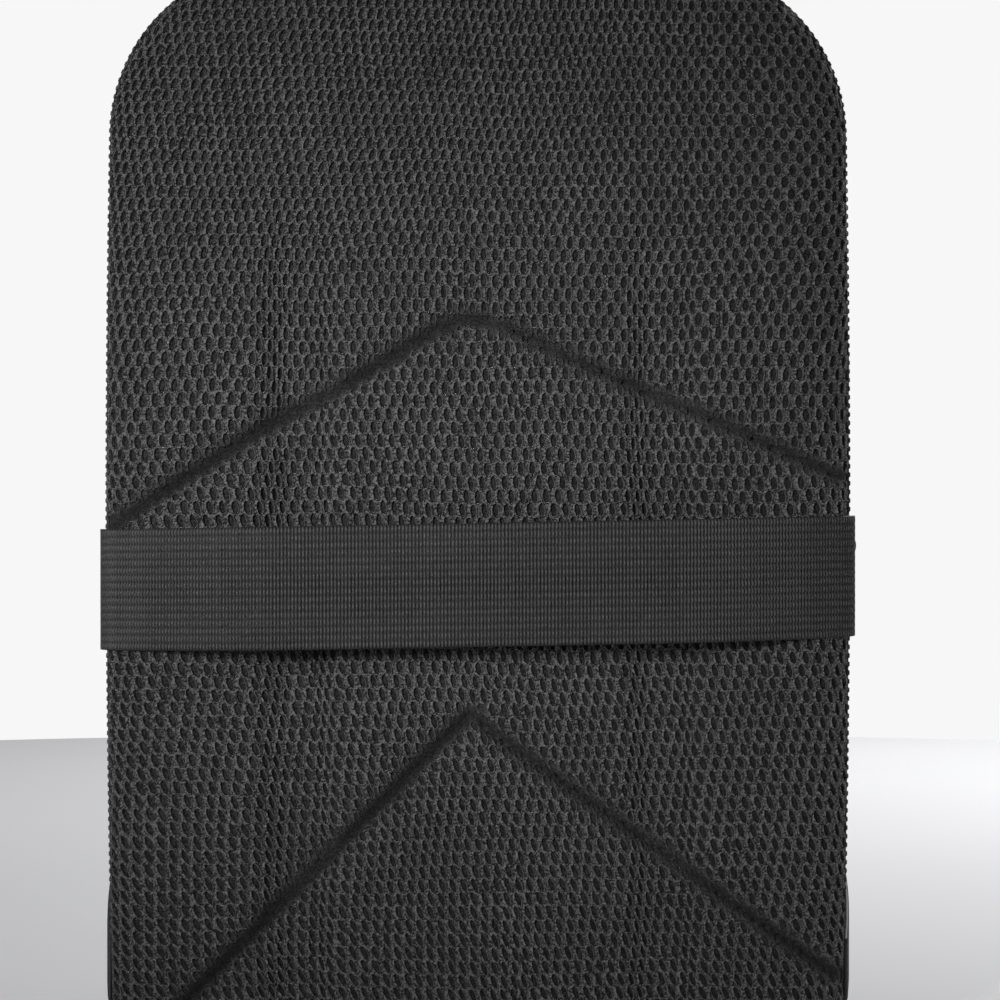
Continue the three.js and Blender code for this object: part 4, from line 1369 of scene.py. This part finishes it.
def makeWebbing(word, side, at):
    clear, run = webbing["clear"], []
    for x, z, upright in webbing["front"]:
        normal = frontNormal(np.float64(x), np.float64(z))
        run.append((np.array([x, frontY(x, z), z]) + normal * clear, -normal, upright))
    for y, z in webbing["side"]:
        edge = gussetPoint(np.array([sideHalf(z), z, 1, 0]), y - bag["backY"])
        off = lerp(webbing["sewnClear"], clear, smoothstep(y, *webbing["sewnFrom"]))
        run.append((edge + [off, 0, 0], np.array([-1.0, 0, 0]), 1))
    run = [(place * [side, 1, 1], face * [side, 1, 1], upright) for place, face, upright in run][::-1]
    turn = halfTurn(at, 2 * (adjuster["bar"] + adjuster["slot"]) + adjuster["loopShift"], -1)
    places, acrosses = [], []
    for k, (place, face, upright) in enumerate(run):
        after = run[k + 1][0] if k + 1 < len(run) else turn[0]
        before = run[max(k - 1, 0)][0]
        square = unit(np.cross(face, after - before))
        level = np.array([0, 0, np.sign(square[2])])
        places.append(place)
        acrosses.append(unit(lerp(square, level, upright)))
    level = at["across"] * np.sign(np.dot(at["across"], acrosses[-1]))
    towards = unit(places[-2] - turn[0])
    places += turn
    for share in webbing["tailShares"]:
        lift = webbing["tailLift"] * share + webbing["tailBow"] * math.sin(np.pi * share)
        places.append(turn[-1] + towards * webbing["tailLength"] * share + at["out"] * lift)
    acrosses += [level] * (len(places) - len(acrosses))
    makeRibbon("strap_run_" + word, places, acrosses, webbing["width"], 361, "strap_webbing_" + word)


def bevelled(node, name, width):
    # the moulded piece with its edges rounded
    source = bpy.data.objects[node]
    work = bmesh.new()
    work.from_mesh(source.data)
    work.transform(source.matrix_world)
    bmesh.ops.remove_doubles(work, verts=work.verts, dist=1e-6)
    bmesh.ops.dissolve_limit(work, angle_limit=0.02, verts=work.verts, edges=work.edges)
    sharp = [edge for edge in work.edges if edge.calc_face_angle(0) > 0.3]
    settings = {"segments": 3, "profile": 0.5, "affect": "EDGES", "clamp_overlap": True}
    bmesh.ops.bevel(work, geom=sharp, offset=width, **settings)
    mesh = bpy.data.meshes.new(name)
    work.to_mesh(mesh)
    work.free()
    mesh.shade_smooth()
    mesh.materials.append(mouldedFinish)
    return finished(inScene(name, mesh), "moulded", node)


seams = []
for word, side in (("left", -1), ("right", 1)):
    line, edges = makeShoulderStrap(word, side)
    seams += edges
    makeTongue(word, strapEnd(line))
    makeWebbing(word, side, strapEnd(line))
    bevelled("strap_adjuster_" + word, "adjuster_" + word, adjuster["edge"])
print("shoulder straps made")

# Carry handle: a webbing arch sewn to the top.
handle = {
    "halfSpan": 0.032,
    "rise": 0.034,
    "width": 0.025,
    "middleY": -0.066,
    "round": 0.016,
    "clear": 0.0028,
    "footLift": 0.0006,
    "footUpright": 0.006,
}


def makeHandle():
    half, corner = handle["halfSpan"], handle["round"]
    foot = bag["height"] + handle["footLift"]
    top = bag["height"] + handle["clear"] + handle["rise"]
    bend = np.linspace(0, np.pi / 2, 9)
    left = np.stack([corner - half - corner * np.cos(bend), top - corner + corner * np.sin(bend)], -1)
    path = np.concatenate([[[-half, foot], [-half, foot + handle["footUpright"]]], left, [[0, top]]])
    path = np.concatenate([path, (path * [-1, 1])[-2::-1]])
    places = np.stack([path[:, 0], np.full(len(path), handle["middleY"]), path[:, 1]], -1)
    acrosses = [np.array([0, 1.0, 0])] * len(places)
    makeRibbon("handle_webbing", places, acrosses, handle["width"], 121, "carry_handle")


makeHandle()
print("handle made")

# Zips: two rows of a coil that mesh in the middle, a slider and its pull tab.
coil = {
    "pitch": 0.0019,
    "reach": 0.0026,
    "overlap": 0.0007,
    "radius": 0.00042,
    "arch": 0.0005,
    "sink": -0.0004,
    "heads": (0.6, 1.0, 1.0, 1.15, 0.7),  # thickness along one tooth
    "sides": 4,
}


def makeCoilTile():
    sides, heads, radius = coil["sides"], coil["heads"], coil["radius"]
    points, faces = [], []
    for shift, sign in ((-0.25, 1), (0.25, -1)):
        first = len(points)
        faces += [[first + int(k) for k in face] for face in tubeFaces(len(heads), sides)]
        for y, head in zip(np.linspace(-coil["reach"], coil["overlap"], len(heads)) * sign, heads):
            middle = radius + coil["arch"] * (1 - (y / coil["reach"]) ** 2)
            for k in range(sides):
                turn = 2 * np.pi * k / sides
                x = shift * coil["pitch"] + radius * head * math.cos(turn)
                points.append((x, y, middle + radius * head * math.sin(turn)))
    return makePiece("coilTile", points, faces)


def makeRow(name, lines, tile, finish, pitch):
    # tiles along open lines, each given as its points and the way up at each of them; drops the tile
    points = np.concatenate([line for line, _ in lines])
    ups = np.concatenate([up for _, up in lines])
    edges, first = [], 0
    for line, _ in lines:
        edges += [(first + k, first + k + 1) for k in range(len(line) - 1)]
        first += len(line)
    mesh = bpy.data.meshes.new(name + "Guide")
    mesh.from_pydata(points.tolist(), edges, [])
    guide = inScene(name + "Guide", mesh)
    pointValues(guide, "up", ups, "FLOAT_VECTOR")
    row = grow(name, guide, rowTree, {"Tile": tile, "Finish": finish, "Pitch": pitch})
    dropGuide(guide)
    dropGuide(tile)
    return row


def onGusset(path, depth, lift=0.0):
    up = np.stack([path[:, 2], 0 * path[:, 2], path[:, 3]], -1)
    return gussetPoint(path, depth, lift), up


def pocketZipLine(offset, lift, count=81):
    x = np.linspace(-pocket["zipHalf"], pocket["zipHalf"], count)
    z = pocket["zipZ"] + offset + 0 * x
    return np.stack([x, pocketY(x, z) + lift, z], -1), np.tile([0, 1.0, 0.1], (count, 1))


def makePocketTape():
    offsets = np.linspace(-0.5, 0.5, 5) * pocket["zipWidth"]
    points = np.stack([pocketZipLine(offset, pocket["zipLift"])[0] for offset in offsets], 1)
    flat, faces = points[..., [2, 0]], gridFaces(*points.shape[:2])
    tape = makePiece("pocket_zip_tape", points, faces, zipCloth, flat, closed=False)
    faceOut(tape, (0, 0, pocket["zipZ"]))
    return thickened(tape, pocket["tapeThickness"])


def makeCoil(name, line):
    finished(makeRow(name, [line], makeCoilTile(), coilFinish, coil["pitch"]), "zip_tape")


makeCoil("main_zip_coil", onGusset(archPath, (zipFrom + zipTo) / 2, coil["sink"]))
finished(makePocketTape(), "zip_tape", "pocket_zip")
makeCoil("pocket_zip_coil", pocketZipLine(0, pocket["zipLift"]))


# A slider's bridge: an arch of the same moulding over its body, which the tab hangs on.
bridge = {
    "sliderEdge": 0.0009,
    "fromEnd": 0.0055,
    "reach": 0.0042,
    "rise": 0.0030,
    "width": 0.0036,
    "thickness": 0.0013,
    "round": 0.6,
    "steps": (15, 12),  # along the arch and round its section
}


def makeBridge(slider, name):
    points = np.array([v.co for v in slider.data.vertices])
    along, across, out = np.linalg.svd(points - points.mean(0), full_matrices=False)[2]
    along = -along * np.sign(along[2])
    out = out * np.sign(np.dot(out[:2], points.mean(0)[:2]))
    size = [points @ axis for axis in (along, across, out)]
    start = along * (size[0].min() + bridge["fromEnd"]) + across * (size[1].min() + size[1].max()) / 2
    start = start + out * (size[2].max() - bridge["thickness"] / 2)
    rows, columns = bridge["steps"]
    arch = np.linspace(0, np.pi, rows)[:, None, None]
    turn = np.linspace(0, 2 * np.pi, columns, endpoint=False)[None, :, None]
    side = signedPower(np.cos(turn), bridge["round"]) * bridge["width"] / 2
    up = signedPower(np.sin(turn), bridge["round"]) * bridge["thickness"] / 2
    spots = start - along * np.cos(arch) * (bridge["reach"] + up)
    spots = spots + out * np.sin(arch) * (bridge["rise"] + up) + across * side
    finished(makePiece(name, spots, tubeFaces(rows, columns), mouldedFinish), "moulded")


for word in ("main", "pocket"):
    slider = bevelled(word + "_zip_puller", word + "_slider", bridge["sliderEdge"])
    makeBridge(slider, word + "_slider_bridge")
print("zips made")

# Stitching: one bowed stitch of thread, repeated along every seam.
stitch = {
    "length": 0.0024,
    "radius": 0.00033,
    "pitch": 0.0036,
    "fromSeam": 0.0055,
    "fromZip": 0.003,
    "fromPocketZip": 0.0075,
    "fromBase": 0.006,  # none under the base
    "pocketOut": 1.025,  # size of the line of stitches round the pocket, as a share of the pocket's
    "pocketLift": 0.0009,
    "zipLift": 0.0001,
}


def makeStitchTile(sides=5):
    points = []
    for share in (-1, -0.6, 0.6, 1):
        middle = stitch["radius"] * (1.3 - 1.7 * share**4)
        for k in range(sides):
            turn = 2 * np.pi * k / sides
            y, z = stitch["radius"] * math.cos(turn), stitch["radius"] * math.sin(turn)
            points.append((share * stitch["length"] / 2, y, middle + z))
    return makePiece("stitchTile", points, gridFaces(4, sides, True))


def pocketEdge():
    loop = np.concatenate([stretch[:-1] for stretch in pocketSides(61)])
    loop = np.concatenate([loop, loop[:1]])
    x, z = ((loop - pocketMiddle) * stitch["pocketOut"] + pocketMiddle).T
    return np.stack([x, frontY(x, z) + stitch["pocketLift"], z], -1), frontNormal(x, z)


fullLoop = np.concatenate([rightHalf, mirrored(rightHalf)[1:]])
fullLoop = evenly(fullLoop[fullLoop[:, 1] > stitch["fromBase"]], 481)
seams += [
    onGusset(fullLoop, stitch["fromSeam"]),
    onGusset(fullLoop, gussetDepth(fullLoop[:, 1]) - stitch["fromSeam"]),
    onGusset(archPath, zipFrom - stitch["fromZip"]),
    onGusset(archPath, zipTo + stitch["fromZip"]),
    pocketEdge(),
    pocketZipLine(stitch["fromPocketZip"], stitch["zipLift"]),
    pocketZipLine(-stitch["fromPocketZip"], stitch["zipLift"]),
]
stitching = makeRow("stitching", seams, makeStitchTile(), threadFinish, stitch["pitch"])
finished(stitching, "cloth")
print("stitching:", len(stitching.data.polygons), "faces")

# Stage: pale floor, a key light at the upper left beside the camera, a fill on the pocket side,
# and the camera square to the back.
view = {"x": 0.00927, "z": 0.2355, "strapY": -0.123, "distance": 1.15, "lens": 102.7, "sensor": 36.0}
floorDisc = {"corners": 96, "radius": 1.6}
keyLight = {
    "place": (-0.62, -1.3, 0.52),
    "target": (-0.05, -0.1, 0.26),
    "size": 0.44,
    "power": 0.48,
    "spread": 22,
}
fillLight = {"place": (1.0, 1.4, 1.4), "target": (0, 0, 0.2), "size": 1.0, "power": 30, "spread": 180}
sky = {"seen": 0.93, "lit": 0.23}  # what the camera sees, and what lights the bag


def makeFloor():
    count, radius = floorDisc["corners"], floorDisc["radius"]
    angle = np.arange(count) * 2 * np.pi / count
    ring = np.stack([radius * np.cos(angle), radius * np.sin(angle), np.zeros(count)], -1)
    makePiece("floor", ring, [list(range(count))], floorFinish(), closed=False)


def addLight(name, lamp):
    light = bpy.data.lights.new(name, "AREA")
    light.shape = "DISK"
    light.size = lamp["size"]
    light.energy = lamp["power"]
    light.spread = math.radians(lamp["spread"])
    thing = inScene(name, light)
    thing.location = lamp["place"]
    towards = Vector(lamp["target"]) - Vector(lamp["place"])
    thing.rotation_euler = towards.to_track_quat("-Z", "Y").to_euler()
    thing.visible_camera = False


def makeWorld():
    world = bpy.data.worlds.new("studio")
    scene.world = world
    world.use_nodes = True
    tree = world.node_tree
    tree.nodes.clear()
    seenColour = (sky["seen"], sky["seen"], sky["seen"], 1)
    seen = addNode(tree, "ShaderNodeBackground", {"Color": seenColour, "Strength": 1.0})[0]
    lit = addNode(tree, "ShaderNodeBackground", {"Color": (1, 1, 1, 1), "Strength": sky["lit"]})[0]
    ray = addNode(tree, "ShaderNodeLightPath")["Is Camera Ray"]
    both = addNode(tree, "ShaderNodeMixShader", {0: ray, 1: lit, 2: seen})[0]
    addNode(tree, "ShaderNodeOutputWorld", {"Surface": both})


def makeCamera():
    data = bpy.data.cameras.new("camera")
    data.lens = view["lens"]
    data.sensor_width = view["sensor"]
    camera = inScene("camera", data)
    camera.location = (view["x"], view["strapY"] - view["distance"], view["z"])
    camera.rotation_euler = (math.radians(90), 0, 0)
    scene.camera = camera


makeFloor()
makeWorld()
makeCamera()
addLight("key", keyLight)
addLight("fill", fillLight)
scene.view_settings.view_transform = "Standard"
scene.cycles.max_bounces = 4
scene.cycles.diffuse_bounces = 2
scene.cycles.glossy_bounces = 2
